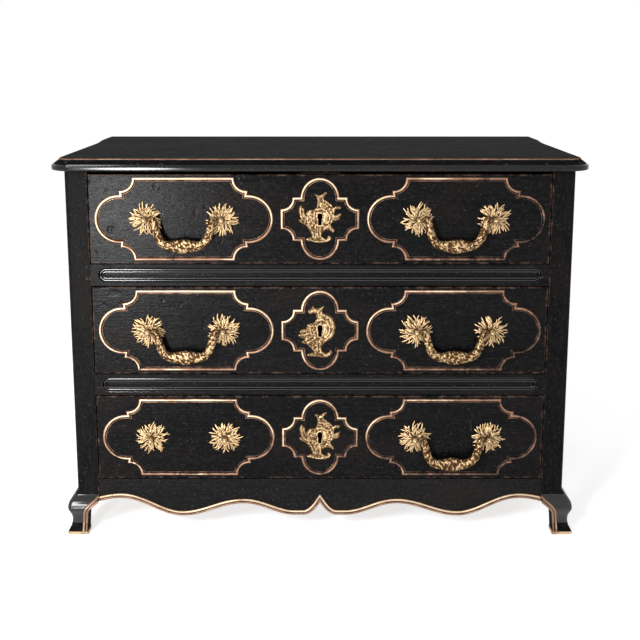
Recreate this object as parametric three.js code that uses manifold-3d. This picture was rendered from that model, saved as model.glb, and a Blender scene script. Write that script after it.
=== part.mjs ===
// A commode chest: three long drawers under a moulded top, over a scalloped apron and scrolled feet.
// Lengths are in millimetres. x runs to the right and z up from the floor. y runs back from the front
// edge of the top, until the last lines put the origin in the middle of the base.
import * as THREE from "three";
import { mergeVertices } from "three/addons/utils/BufferGeometryUtils.js";
import Module from "manifold-3d";

const wasm = await Module();
wasm.setup();

// Sizes that every piece shares
const fit = 0.3; // gap between two pieces that touch
const overrun = 3; // how far a cut runs past the face that it opens
const bedding = 1; // how deep a carved or cast form reaches into what carries it
const coincident = 0.01; // points closer than this are one point
const quarter = Math.PI / 2;

// Top board
const overallHeight = 862;
const topWidth = 1160;
const topDepth = 608;
const topThickness = 30;
const topOverhang = 25; // in front and at the sides
const topBackOverhang = 18;
const topCornerRadius = 36;
const topCornerSteps = 6;
const topFlare = 16; // the sides of the top step out towards the back
const topFlareLength = 142;
const topFlareSetIn = 80; // from the end of the flare to the back edge
const topFlareSteps = 6;
const topArrisInset = 12;
const topArrisRound = 1.4;
const topCoveDrop = 4;
const topCoveRadius = 5;
const topCoveSteps = 3;
const topFillet = 1.4;
const topNoseRadius = 9;
const topNoseSteps = 6;
const topNoseStart = -0.95; // radians above the widest line
const topNoseEnd = 1.2; // radians below it
const topUnderInset = 15;

// Case
const stileWidth = 50;
const stileDepth = 50;
const stileCornerRadius = 9;
const stileCornerSteps = 4;
const rearStileLength = 100; // front to back
const rearStileInset = 34; // from the side of the case to the stile's inner face
const rearStileStep = 16; // the rear stiles stand out from the sides
const rearStileOgee = 38; // length of the curve from the side out to the stile
const rearStileOgeeSteps = 6;
const sideThickness = 20;
const sideSetBack = 3; // behind the outer face of the stiles
const sideFieldRise = 3;
const sideFieldMargin = 42;
const sideFieldSlope = 12;
const sideSkirtDrop = 26;
const sideSkirtSteps = 12;
const backThickness = 12;
const backSetIn = 3;
const backBoards = 3;
const backGroove = 3;
const backLift = 14; // lower edge of the back above the tops of the feet

// Drawer openings and rails, from the top down
const drawerShares = [0.334, 0.3355, 0.3305]; // of the height that the three drawers have together
const topReveal = 4; // shadow line between the top and the first drawer
const reveal = 1.5; // gap round the other edges of a drawer front
const railHeight = 48.5;
const railDepth = 34;

// Reeded recess of a rail
const recessHeight = 38;
const recessEndMargin = 17;
const recessDepth = 6;
const recessSteps = 5;
const reeds = 3;
const reedGap = 1;
const reedHeight = 5;
const reedEndMargin = 4; // from the round end of the recess, along each reed's own height
const reedSteps = 4;
const reedShoulderShares = [[0, 0], [0.12, 0.62], [0.3, 0.92], [0.5, 1]]; // across from its edge, up

// Apron
const apronTop = 127.5; // above the floor
const apronThickness = 24;
const notchHeightShare = 0.55; // of the height of the apron's top
const notchWidthShare = 0.075; // of half the opening's width
const apronTurnShares = [
  // of half the opening's width, of the height of the apron's top: lobes and arches by turns
  [0.115, 0.314], [0.3465, 0.533], [0.622, 0.298], [0.901, 0.635],
];
const apronEndShare = 0.502; // of the height of the apron's top
const apronCurveSteps = 6;
const apronBeadWidth = 10.4;
const apronBeadHeight = 4.6;
const apronBeadShares = [[0, 0.7], [0.48, 0.55], [0.75, 1]]; // of its width, of its height

// Feet
const footHeight = 90;
const footSteps = 14;
const footFlare = 20;
const footCornerRadius = 10;
const footCornerSteps = 4;
const footArris = 1.5;
const footFlareShares = [
  // of the height from the floor, of the flare
  [0, 0.88], [0.05, 1], [0.11, 0.9], [0.2, 0.7], [0.32, 0.62], [0.48, 0.76],
  [0.62, 0.97], [0.68, 1], [0.76, 0.84], [0.88, 0.5], [1, 0.08],
];
const footReachShares = [
  // of the height from the floor, of the stile's width: the inner faces draw back below the apron
  [0, 0.57], [0.05, 0.6], [0.22, 0.63], [0.46, 0.68], [0.56, 0.77], [0.64, 0.88], [0.72, 1], [1, 1],
];

// Drawers
const frontThickness = 25;
const frontArris = 1.5;
const drawerSideThickness = 14;
const drawerRoomBehind = 10; // from a closed drawer to the back
const drawerSideHeightShare = 0.9; // of the height of its front
const drawerBackThickness = 12;
const drawerBackDrop = 6; // below the top edge of the sides
const drawerBottomThickness = 8;
const drawerBottomLift = 8;
const drawerGroove = 6;

// Runners
const runnerHeight = 26;
const runnerLedge = 30; // width that carries the drawer's side
const guideHeight = 20;
const guideClearance = 1;

// Long cartouche, one at each end of a drawer front
const cartoucheSideMargin = 17; // to the side of the opening
const cartoucheMargin = 11; // above and below
const cartoucheCentreGap = 23.3; // to the central cartouche
const cartoucheCornerRadius = 29;
const cartoucheCornerInset = 55; // from the end of the cartouche to the corner's centre
const cartoucheStep = 2;
const cartoucheLobeRadius = 50;

// Central cartouche, round the escutcheon
const centreHalfWidth = 82.7;
const centreMargin = 11.8; // above and below
const centreLobeHalfWidth = 40.5;
const centreShoulderHeight = 45;
const centreSideHalfHeight = 19;

// Bead of the cartouches
const beadWidth = 7.4;
const beadHeight = 3.2;
const beadFillet = 2.9; // flat fillet inside the bead
const beadCrestShare = 0.55; // of its width
const beadFilletShare = 0.25; // of its height
const lobeSteps = 4;
const cornerSteps = 3;

// Lock and keyhole
const keyholeWidth = 10.7;
const keyholeHeight = 26;
const lockWidth = 90;
const lockBelowKeyhole = 28;
const lockThickness = 14;
const lockLetIn = 8;
const lockWall = 2.5;
const boltWidth = 24;
const boltThickness = 5;
const boltLength = 60;
const boltRecess = 0.6; // below the edge of the drawer when withdrawn
const boltThrow = 9;
const boltClearance = 0.8;
const boltNose = 1.2;

// Escutcheon
const plateHeights = [111, 118.5, 111]; // from the top drawer down
const plateThickness = 3;
const plateBevel = 0.7;
const bossOffset = 11.5; // centre of the boss to the right of the keyhole's centre
const bossLift = 4; // and above it
const bossRadius = 17;
const bossRoundShare = 0.62; // of its radius, across
const bossHeight = 6;
const bossSegments = 14;
const bossRings = 4;

// Handles
const postSpacing = 166.5;
const rosetteRadius = 41;
const rosetteLobes = 12;
const rosetteNotchShare = 0.8; // of its radius, between the lobes
const rosetteRingShares = [[0.62, 0.9], [0.24, 1]]; // of its radius, of its height
const rosetteHeight = 8;
const postSegments = 8;
const postNeckRadius = 4.8;
const postHeadRadius = 7.4;
const postHeadLength = 13;
const bailPlane = 20; // from the drawer's face to the pivot
const pinRadius = 2.6;
const pinClearance = 0.5;
const pinPastPost = 5;
const bailSides = 8;
const bailDrop = 57;
const bailHalfWidth = 68;
const bailShares = [
  // along the half width, of the drop, in-plane and outward thickness shares of the bulge
  [1.03, 0, 0.19, 0.3], [1, 0.05, 0.38, 0.55], [0.955, 0.26, 0.5, 0.62], [0.88, 0.54, 0.54, 0.66],
  [0.75, 0.82, 0.58, 0.7], [0.57, 0.96, 0.6, 0.72], [0.36, 1, 0.62, 0.78], [0.19, 1, 0.86, 0.92],
];
const bulgeRadius = 14.5;
const bulgeDepth = 9;

// Materials
function finish(name, colour, roughness, metalness) {
  return () => new THREE.MeshStandardMaterial({ name, color: colour, roughness, metalness });
}
const ebonised = finish("ebonised_wood", 0x1b1918, 0.42, 0);
const bareOak = finish("bare_oak", 0x8d6c47, 0.75, 0);
const bronze = finish("gilt_bronze", 0xc39b5a, 0.38, 1);
const iron = finish("iron", 0x4b4642, 0.55, 1);

// Places that follow from the sizes
const topUnderside = overallHeight - topThickness;
const bodyHalf = topWidth / 2 - topOverhang;
const bodyFront = topOverhang;
const bodyBack = topDepth - topBackOverhang;
const openingHalf = bodyHalf - stileWidth;
const rearStileFront = bodyBack - rearStileLength;
const rearInner = bodyHalf - rearStileInset;
const cartoucheSpan = openingHalf - cartoucheSideMargin - cartoucheCentreGap - centreHalfWidth;
const cartoucheHalf = cartoucheSpan / 2;
const cartoucheAt = openingHalf - cartoucheSideMargin - cartoucheHalf;
const frontmost = bodyFront - bailPlane - bulgeDepth;
const backFace = bodyBack - backSetIn;
const drawerSideStart = bodyFront + frontThickness + fit;
const drawerEnd = backFace - backThickness - drawerRoomBehind;

// Heights of the drawers, from the top down, and of the rails under the first two
const drawers = [];
const rails = [];
let level = topUnderside - topReveal;
const taken = (drawerShares.length - 1) * (railHeight + 2 * reveal) + reveal;
const shared = level - apronTop - taken;
for (const share of drawerShares) {
  const bottom = level - shared * share;
  drawers.push({ top: level, bottom, middle: (level + bottom) / 2 });
  rails.push({ top: bottom - reveal, bottom: bottom - reveal - railHeight });
  level = bottom - reveal - railHeight - reveal;
}
rails.pop();

// Geometry helpers

// A closed mesh as a solid that can be joined and cut.
function solid(geometry) {
  const plain = geometry.clone();
  plain.deleteAttribute("normal");
  plain.deleteAttribute("uv");
  const merged = mergeVertices(plain);
  const index = merged.index.array;
  const kept = [];
  for (let i = 0; i < index.length; i += 3) {
    const [a, b, c] = index.slice(i, i + 3);
    if (a !== b && b !== c && c !== a) kept.push(a, b, c);
  }
  const { array: vertProperties, itemSize: numProp } = merged.attributes.position;
  return new wasm.Manifold(new wasm.Mesh({ numProp, vertProperties, triVerts: new Uint32Array(kept) }));
}

// A solid as a geometry again.
function geometryOf(made) {
  const mesh = made.getMesh();
  const geometry = new THREE.BufferGeometry();
  geometry.setAttribute("position", new THREE.BufferAttribute(mesh.vertProperties, mesh.numProp));
  geometry.setIndex(new THREE.BufferAttribute(mesh.triVerts, 1));
  return geometry;
}

function box(x0, x1, y0, y1, z0, z1) {
  const geometry = new THREE.BoxGeometry(x1 - x0, y1 - y0, z1 - z0);
  return geometry.translate((x0 + x1) / 2, (y0 + y1) / 2, (z0 + z1) / 2);
}

// An outline in x and z, extruded from front to back.
function boardAcross(points, y0, y1) {
  const geometry = new THREE.ExtrudeGeometry(new THREE.Shape(points), {
    depth: y1 - y0,
    bevelEnabled: false,
    curveSegments: 1,
  });
  return geometry.rotateX(quarter).translate(0, y1, 0);
}

// An outline in x and y, extruded upwards.
function post(points, z0, z1) {
  const geometry = new THREE.ExtrudeGeometry(new THREE.Shape(points), {
    depth: z1 - z0,
    bevelEnabled: false,
    curveSegments: 1,
  });
  return geometry.translate(0, 0, z0);
}

// An outline in y and z, extruded sideways.
function boardAlong(points, x0, x1) {
  const geometry = new THREE.ExtrudeGeometry(new THREE.Shape(points), {
    depth: x1 - x0,
    bevelEnabled: false,
    curveSegments: 1,
  });
  const turn = new THREE.Matrix4().makeBasis(
    new THREE.Vector3(0, 1, 0),
    new THREE.Vector3(0, 0, 1),
    new THREE.Vector3(1, 0, 0),
  );
  return geometry.applyMatrix4(turn).translate(x0, 0, 0);
}

// A skin over rings of equal count, capped at both ends or joined end to end.
function skin(rings, joined = false) {
  const count = rings[0].length;
  const positions = rings.flat().flatMap((p) => [p.x, p.y, p.z]);
  const index = [];
  const spans = joined ? rings.length : rings.length - 1;
  for (let r = 0; r < spans; r++) {
    const here = r * count;
    const next = ((r + 1) % rings.length) * count;
    for (let i = 0; i < count; i++) {
      const j = (i + 1) % count;
      index.push(here + i, here + j, next + j, here + i, next + j, next + i);
    }
  }
  if (!joined) {
    const last = (rings.length - 1) * count;
    for (const [a, b, c] of capOf(rings[0])) index.push(c, b, a);
    for (const [a, b, c] of capOf(rings.at(-1))) index.push(last + a, last + b, last + c);
  }
  if (signedVolume(positions, index) < 0) index.reverse();
  const geometry = new THREE.BufferGeometry();
  geometry.setAttribute("position", new THREE.Float32BufferAttribute(positions, 3));
  geometry.setIndex(index);
  return geometry;
}

// Triangles over a flat ring, in the ring's own turning direction.
function capOf(ring) {
  const normal = new THREE.Vector3();
  ring.forEach((p, i) => normal.add(p.clone().cross(ring[(i + 1) % ring.length])));
  normal.normalize();
  const facesUp = Math.abs(normal.z) > Math.abs(normal.y);
  const helper = facesUp ? new THREE.Vector3(1, 0, 0) : new THREE.Vector3(0, 0, 1);
  const u = helper.cross(normal).normalize();
  const v = normal.clone().cross(u);
  const flat = ring.map((p) => new THREE.Vector2(p.dot(u), p.dot(v)));
  return THREE.ShapeUtils.triangulateShape(flat, []);
}

function signedVolume(positions, index) {
  const corner = (i) => new THREE.Vector3().fromArray(positions, i * 3);
  let sum = 0;
  for (let i = 0; i < index.length; i += 3) {
    sum += corner(index[i]).dot(corner(index[i + 1]).cross(corner(index[i + 2])));
  }
  return sum;
}

// Points on an arc about a centre, both ends included.
function arc(cx, cy, rx, ry, from, to, steps) {
  const points = [];
  for (let i = 0; i <= steps; i++) {
    const a = from + ((to - from) * i) / steps;
    points.push(new THREE.Vector2(cx + rx * Math.cos(a), cy + ry * Math.sin(a)));
  }
  return points;
}

function withoutDoubles(points) {
  return points.filter((p, i) => p.distanceTo(points[(i + 1) % points.length]) > coincident);
}

// A quarter of an outline, from the x axis to the second axis, mirrored to all four.
function fourfold(quarterPoints) {
  const flip = (sx, sy) => quarterPoints.map((p) => new THREE.Vector2(p.x * sx, p.y * sy));
  const upper = [...flip(1, 1), ...flip(-1, 1).reverse()];
  const lower = [...flip(-1, -1), ...flip(1, -1).reverse()];
  return withoutDoubles([...upper, ...lower]);
}

// A rising or falling S curve between 0 and 1.
function ease(t) {
  return (1 - Math.cos(Math.PI * t)) / 2;
}

// A value read along a list of [place, value] pairs, with a smooth curve through them.
function along(pairs, at) {
  const last = pairs.length - 1;
  let i = 0;
  while (i < last - 1 && at > pairs[i + 1][0]) i++;
  const [x0, y0] = pairs[i];
  const [x1, y1] = pairs[i + 1];
  const before = pairs[Math.max(0, i - 1)];
  const after = pairs[Math.min(last, i + 2)];
  const slope0 = (y1 - before[1]) / (x1 - before[0]);
  const slope1 = (after[1] - y0) / (after[0] - x0);
  const t = (at - x0) / (x1 - x0);
  const u = 1 - t;
  return (1 + 2 * t) * u * u * y0 + t * u * u * (x1 - x0) * slope0
    + t * t * (3 - 2 * t) * y1 - t * t * u * (x1 - x0) * slope1;
}

// A section carried along a path in x and z on a face that looks to the front. The section's first
// value runs to the left of the path and its second out of the face.
function moulding(path, section, face, joined) {
  const rings = path.map((p, i) => {
    const closedBefore = path[(i + path.length - 1) % path.length];
    const closedAfter = path[(i + 1) % path.length];
    const before = joined || i > 0 ? closedBefore : p;
    const after = joined || i < path.length - 1 ? closedAfter : p;
    const inward = (a, b) => new THREE.Vector2(a.y - b.y, b.x - a.x).normalize();
    const sides = [];
    if (before !== p) sides.push(inward(before, p));
    if (after !== p) sides.push(inward(p, after));
    const mitre = sides.reduce((sum, n) => sum.add(n), new THREE.Vector2()).normalize();
    const stretch = 1 / mitre.dot(sides[0]);
    return section.map(([u, v]) => {
      const reach = u * stretch;
      return new THREE.Vector3(p.x + mitre.x * reach, face - v, p.y + mitre.y * reach);
    });
  });
  return skin(rings, joined);
}

// Pieces of the case

const root = new THREE.Group();
root.name = "commode_chest";

function add(name, geometry, material) {
  const mesh = new THREE.Mesh(geometry, material());
  mesh.name = name;
  root.add(mesh);
  return mesh;
}

// What stands on the right, and its mirror image on the left.
function addPair(leftName, rightName, geometry, material) {
  add(leftName, geometry, material).scale.x = -1;
  add(rightName, geometry, material);
}

// The moulded edge of the top, from its upper face down: inset from the widest line, drop.
function topEdge() {
  const shoulder = topArrisInset - topArrisRound;
  const edge = [[topArrisInset, 0], [shoulder, topArrisRound]];
  const coveCentre = shoulder - topCoveRadius;
  for (const p of arc(coveCentre, topCoveDrop, topCoveRadius, topCoveRadius, 0, quarter, topCoveSteps)) {
    edge.push([p.x, p.y]);
  }
  edge.push([coveCentre - topFillet, topCoveDrop + topCoveRadius]);
  for (let i = 0; i <= topNoseSteps; i++) {
    const a = topNoseStart + ((topNoseEnd - topNoseStart) * i) / topNoseSteps;
    const inset = topNoseRadius * (1 - Math.cos(a));
    const middle = topThickness - topNoseRadius - topFillet;
    edge.push([inset, middle + topNoseRadius * Math.sin(a)]);
  }
  edge.push([topUnderInset, topThickness]);
  return edge;
}

// The plan of the top, a given distance inside its widest line, with its back edge kept.
function topPlan(inset) {
  const half = topWidth / 2 - inset;
  const radius = topCornerRadius - inset;
  const right = arc(half - radius, inset + radius, radius, radius, -quarter, 0, topCornerSteps);
  for (let i = 0; i <= topFlareSteps; i++) {
    const t = i / topFlareSteps;
    const y = topDepth - topFlareSetIn - topFlareLength * (1 - t);
    right.push(new THREE.Vector2(half + topFlare * ease(t), y));
  }
  right.push(new THREE.Vector2(half + topFlare, topDepth));
  const left = right.map((p) => new THREE.Vector2(-p.x, p.y)).reverse();
  return [...right, ...left];
}

function topBoard() {
  const rings = topEdge().map(([inset, drop]) =>
    topPlan(inset).map((p) => new THREE.Vector3(p.x, p.y, overallHeight - drop)),
  );
  const slots = drawers.slice(0, 1).map((drawer) => boltMortise(drawer, topUnderside));
  return geometryOf(slots.reduce((board, slot) => board.subtract(slot), solid(skin(rings))));
}

// The slot that the bolt of a drawer's lock shoots up into.
function boltMortise(drawer, underside) {
  const half = boltWidth / 2 + boltClearance;
  const depth = drawer.top - boltRecess + boltThrow + boltClearance;
  const [front, back] = boltSpan();
  return solid(
    box(-half, half, front - boltClearance, back + boltClearance, underside - overrun, depth),
  );
}

// Front and back faces of a lock's bolt.
function boltSpan() {
  const front = bodyFront + frontThickness - lockLetIn + lockWall;
  return [front, front + boltThickness];
}

function frontStile() {
  const corner = arc(
    bodyHalf - stileCornerRadius,
    bodyFront + stileCornerRadius,
    stileCornerRadius,
    stileCornerRadius,
    -quarter,
    0,
    stileCornerSteps,
  );
  const back = bodyFront + stileDepth;
  const plan = [
    new THREE.Vector2(openingHalf, bodyFront),
    ...corner,
    new THREE.Vector2(bodyHalf, back),
    new THREE.Vector2(openingHalf, back),
  ];
  return post(plan, footHeight, topUnderside - fit);
}

// A foot that stands at a corner of the case. It swells out at the knee and the toe, and its inner
// faces draw back below the apron. towards is the sign of y away from the case.
function foot(cornerX, cornerY, towards, flareForward, height) {
  const rings = [];
  for (let i = 0; i <= footSteps; i++) {
    const share = i / footSteps;
    const flare = footFlare * along(footFlareShares, share);
    const reach = (stileWidth - fit) * Math.min(1, along(footReachShares, share));
    const outX = cornerX + flare;
    const outY = cornerY + towards * flare * flareForward;
    const inX = cornerX - reach;
    const inY = cornerY - towards * reach;
    const radius = footCornerRadius;
    const corner = arc(outX - radius, radius, radius, radius, -quarter, 0, footCornerSteps);
    const plan = corner.map((p) => new THREE.Vector2(p.x, outY - towards * p.y));
    plan.push(new THREE.Vector2(outX, inY + towards * footArris));
    plan.push(new THREE.Vector2(outX - footArris, inY));
    plan.push(new THREE.Vector2(inX + footArris, inY));
    plan.push(new THREE.Vector2(inX, inY + towards * footArris));
    plan.push(new THREE.Vector2(inX, outY - towards * footArris));
    plan.push(new THREE.Vector2(inX + footArris, outY));
    rings.push(plan.map((p) => new THREE.Vector3(p.x, p.y, height * share)));
  }
  return skin(rings);
}

// A rear stile steps out from the side in an ogee, and its foot is carved from the same wood.
function rearStile() {
  const out = bodyHalf + rearStileStep;
  const plan = [new THREE.Vector2(rearInner, bodyBack), new THREE.Vector2(rearInner, rearStileFront)];
  for (let i = 0; i <= rearStileOgeeSteps; i++) {
    const t = i / rearStileOgeeSteps;
    plan.push(new THREE.Vector2(bodyHalf + rearStileStep * ease(t), rearStileFront + rearStileOgee * t));
  }
  plan.push(new THREE.Vector2(out, bodyBack));
  const shaft = solid(post(plan, footHeight - bedding, topUnderside - fit));
  return geometryOf(shaft.add(solid(foot(out, bodyBack, 1, 0, footHeight))));
}

// A side board with a raised field, and a lower edge that dips between the feet.
function sideBoard() {
  const front = bodyFront + stileDepth + fit;
  const back = rearStileFront - fit;
  const outer = bodyHalf - sideSetBack;
  const upper = topUnderside - fit;
  const outline = [new THREE.Vector2(back, upper), new THREE.Vector2(front, upper)];
  for (let i = 0; i <= sideSkirtSteps; i++) {
    const t = i / sideSkirtSteps;
    const dip = (sideSkirtDrop * (1 - Math.cos(2 * Math.PI * t))) / 2;
    outline.push(new THREE.Vector2(front + (back - front) * t, footHeight - dip));
  }
  const board = solid(boardAlong(outline, outer - sideThickness, outer));
  const ring = (margin, x) => [
    new THREE.Vector3(x, front + margin, footHeight + margin),
    new THREE.Vector3(x, back - margin, footHeight + margin),
    new THREE.Vector3(x, back - margin, upper - margin),
    new THREE.Vector3(x, front + margin, upper - margin),
  ];
  const field = solid(
    skin([
      ring(sideFieldMargin, outer - bedding),
      ring(sideFieldMargin, outer),
      ring(sideFieldMargin + sideFieldSlope, outer + sideFieldRise),
    ]),
  );
  return geometryOf(board.add(field));
}

// The back, of boards laid across with a groove at each joint.
function backBoard() {
  const lower = footHeight + backLift;
  const upper = topUnderside - fit;
  const inner = backFace - backThickness;
  const outline = [new THREE.Vector2(inner, lower), new THREE.Vector2(backFace, lower)];
  for (let i = 1; i < backBoards; i++) {
    const joint = lower + ((upper - lower) * i) / backBoards;
    outline.push(new THREE.Vector2(backFace, joint - backGroove));
    outline.push(new THREE.Vector2(backFace - backGroove, joint));
    outline.push(new THREE.Vector2(backFace, joint + backGroove));
  }
  outline.push(new THREE.Vector2(backFace, upper), new THREE.Vector2(inner, upper));
  return boardAlong(outline, -rearInner + fit, rearInner - fit);
}

// A long outline with round ends, about a height z.
function stadium(halfLength, halfHeight, z, steps) {
  const flat = halfLength - halfHeight;
  const right = arc(flat, z, halfHeight, halfHeight, -quarter, quarter, steps);
  const left = arc(-flat, z, halfHeight, halfHeight, quarter, 3 * quarter, steps);
  return [...right, ...left];
}

// A drawer rail with reeds in a long recess.
function drawerRail(rail, drawerBelow) {
  const middle = (rail.top + rail.bottom) / 2;
  const half = openingHalf - fit;
  let made = solid(box(-half, half, bodyFront, bodyFront + railDepth, rail.bottom, rail.top));
  const recessHalf = openingHalf - recessEndMargin;
  const recess = stadium(recessHalf, recessHeight / 2, middle, recessSteps);
  made = made.subtract(solid(boardAcross(recess, bodyFront - overrun, bodyFront + recessDepth)));
  const pitch = recessHeight / reeds;
  const floor = bodyFront + recessDepth;
  for (let i = 0; i < reeds; i++) {
    const z = rail.bottom + (railHeight - recessHeight) / 2 + pitch * (i + 0.5);
    const halfWidth = (pitch - reedGap) / 2;
    const endRadius = recessHeight / 2;
    const endReach = Math.sqrt(endRadius * endRadius - (z - middle) * (z - middle));
    const ends = recessHalf - endRadius + endReach - reedEndMargin;
    const rings = [stadiumRing(ends, halfWidth, z, floor + bedding)];
    for (const [across, up] of reedShoulderShares) {
      const inset = across * halfWidth;
      rings.push(stadiumRing(ends - inset, halfWidth - inset, z, floor - reedHeight * up));
    }
    made = made.add(solid(skin(rings)));
  }
  return geometryOf(made.subtract(boltMortise(drawerBelow, rail.bottom)));
}

function stadiumRing(halfLength, halfHeight, z, y) {
  return stadium(halfLength, halfHeight, z, reedSteps).map((p) => new THREE.Vector3(p.x, y, p.y));
}

// The lower edge of the apron from the middle to the right end.
function apronCurve() {
  const curve = [];
  const steps = apronCurveSteps;
  const turns = apronTurnShares.map(([across, up]) => [across * openingHalf, up * apronTop]);
  const [, lobeHeight] = turns[0];
  const notchHalfWidth = openingHalf * notchWidthShare;
  for (let i = 0; i <= steps; i++) {
    const t = 1 - i / steps;
    const rise = (apronTop * notchHeightShare - lobeHeight) * t * t;
    curve.push(new THREE.Vector2(notchHalfWidth * (1 - t), lobeHeight + rise));
  }
  for (let k = 1; k < turns.length; k++) {
    const [x, z] = turns[k - 1];
    const [nextX, nextZ] = turns[k];
    for (let i = 0; i < steps; i++) {
      const t = i / steps;
      curve.push(new THREE.Vector2(x + (nextX - x) * t, z + (nextZ - z) * ease(t)));
    }
  }
  const end = openingHalf - fit;
  const [archAt, archHeight] = turns.at(-1);
  const endSteps = Math.ceil(steps / 2);
  for (let i = 0; i <= endSteps; i++) {
    const t = i / endSteps;
    const drop = (archHeight - apronTop * apronEndShare) * (1 - Math.cos(quarter * t));
    curve.push(new THREE.Vector2(archAt + (end - archAt) * t, archHeight - drop));
  }
  return curve;
}

function apron() {
  const right = apronCurve();
  const left = right.slice(1).map((p) => new THREE.Vector2(-p.x, p.y)).reverse();
  const edge = [...left, ...right];
  const half = openingHalf - fit;
  const outline = [...edge, new THREE.Vector2(half, apronTop), new THREE.Vector2(-half, apronTop)];
  const board = solid(boardAcross(outline, bodyFront, bodyFront + apronThickness));
  const crest = apronBeadShares.map(([across, up]) => [across * apronBeadWidth, up * apronBeadHeight]);
  const section = [[0, -bedding], ...crest, [apronBeadWidth, -bedding]];
  const made = board.add(solid(moulding(edge, section, bodyFront, false)));
  const proud = bodyFront - apronBeadHeight - overrun;
  const within = box(-half, half, proud, bodyFront + apronThickness, 0, apronTop);
  return geometryOf(made.intersect(solid(within)));
}

// A runner under one side of a drawer: a ledge, a guide beside the drawer, and a tongue that reaches
// forward past the stile to the rail or apron at its front.
function runner(drawer, frontSeat) {
  const top = drawer.bottom - fit;
  const bottom = top - runnerHeight;
  const side = openingHalf - reveal;
  const guideIn = side + guideClearance;
  const outer = rearInner - fit;
  const inner = side - runnerLedge;
  const y0 = bodyFront + stileDepth + fit;
  const y1 = backFace - backThickness - fit;
  const profile = [
    new THREE.Vector2(inner, bottom),
    new THREE.Vector2(outer, bottom),
    new THREE.Vector2(outer, top + guideHeight),
    new THREE.Vector2(guideIn, top + guideHeight),
    new THREE.Vector2(guideIn, top),
    new THREE.Vector2(inner, top),
  ];
  const bar = solid(boardAcross(profile, y0, y1));
  const tongue = solid(box(inner, openingHalf - fit, frontSeat + fit, y0 + bedding, bottom, top));
  return geometryOf(bar.add(tongue));
}

// Pieces of a drawer

function longCartouche(halfHeight) {
  const lobeAt = cartoucheHalf - cartoucheLobeRadius;
  const lobe = arc(lobeAt, 0, cartoucheLobeRadius, cartoucheLobeRadius, 0, quarter, lobeSteps);
  const cornerAt = cartoucheHalf - cartoucheCornerInset;
  const step = new THREE.Vector2(cornerAt - cartoucheStep, cartoucheLobeRadius);
  const corner = arc(
    cornerAt,
    halfHeight,
    cartoucheCornerRadius,
    cartoucheCornerRadius,
    -quarter,
    -2 * quarter,
    cornerSteps,
  );
  return fourfold([...lobe, step, ...corner]);
}

function centralCartouche(halfHeight) {
  const cornerRadius = centreShoulderHeight - centreSideHalfHeight;
  const corner = arc(
    centreHalfWidth,
    centreShoulderHeight,
    cornerRadius,
    cornerRadius,
    -quarter,
    -2 * quarter,
    cornerSteps,
  );
  const lobeHeight = halfHeight - centreShoulderHeight;
  const lobe = arc(0, centreShoulderHeight, centreLobeHalfWidth, lobeHeight, 0, quarter, lobeSteps);
  return fourfold([...corner, ...lobe]);
}

function placed(path, x, z) {
  return path.map((p) => new THREE.Vector2(p.x + x, p.y + z));
}

function bead(path) {
  const half = beadWidth / 2;
  const crest = half * beadCrestShare;
  const section = [
    [-half, -bedding],
    [-crest, beadHeight],
    [crest, beadHeight],
    [half, beadHeight * beadFilletShare],
    [half + beadFillet, -bedding],
  ];
  return solid(moulding(path, section, bodyFront, true));
}

// The place that the lock is let into, and the lock's own outline: sides, lower and upper edge.
function lockBounds(drawer) {
  const half = lockWidth / 2;
  return [-half, half, drawer.middle - keyholeHeight / 2 - lockBelowKeyhole, drawer.top];
}

function keyhole(drawer, y0, y1) {
  const halfWidth = keyholeWidth / 2;
  const halfHeight = keyholeHeight / 2;
  return solid(box(-halfWidth, halfWidth, y0, y1, drawer.middle - halfHeight, drawer.middle + halfHeight));
}

function drawerFront(drawer) {
  const half = openingHalf - reveal;
  const back = bodyFront + frontThickness;
  const ring = (inset, y) => [
    new THREE.Vector3(-half + inset, y, drawer.bottom + inset),
    new THREE.Vector3(half - inset, y, drawer.bottom + inset),
    new THREE.Vector3(half - inset, y, drawer.top - inset),
    new THREE.Vector3(-half + inset, y, drawer.top - inset),
  ];
  let made = solid(skin([ring(0, back), ring(0, bodyFront + frontArris), ring(frontArris, bodyFront)]));
  const halfHeight = (drawer.top - drawer.bottom) / 2;
  const long = longCartouche(halfHeight - cartoucheMargin);
  for (const side of [-1, 1]) {
    made = made.add(bead(placed(long, side * cartoucheAt, drawer.middle)));
  }
  made = made.add(bead(placed(centralCartouche(halfHeight - centreMargin), 0, drawer.middle)));
  const [left, right, lower, upper] = lockBounds(drawer);
  const floor = back - lockLetIn - fit;
  const pocket = box(left - fit, right + fit, floor, back + overrun, lower - fit, upper + overrun);
  made = made.subtract(solid(pocket));
  return geometryOf(made.subtract(keyhole(drawer, bodyFront - overrun, back + overrun)));
}

function lockCase(drawer) {
  const back = bodyFront + frontThickness;
  const [left, right, lower, upper] = lockBounds(drawer);
  const y0 = back - lockLetIn;
  let made = solid(box(left, right, y0, y0 + lockThickness, lower, upper));
  const half = boltWidth / 2 + fit;
  const [front, rear] = boltSpan();
  const bottom = drawer.top - boltRecess - boltLength - fit;
  made = made.subtract(solid(box(-half, half, front - fit, rear + fit, bottom, upper + overrun)));
  return geometryOf(made.subtract(keyhole(drawer, y0 - overrun, y0 + lockThickness + overrun)));
}

function lockBolt(drawer) {
  const half = boltWidth / 2;
  const top = drawer.top - boltRecess;
  const outline = [
    new THREE.Vector2(-half, top - boltLength),
    new THREE.Vector2(half, top - boltLength),
    new THREE.Vector2(half, top - boltNose),
    new THREE.Vector2(half - boltNose, top),
    new THREE.Vector2(-half + boltNose, top),
    new THREE.Vector2(-half, top - boltNose),
  ];
  return boardAcross(outline, ...boltSpan());
}

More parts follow.
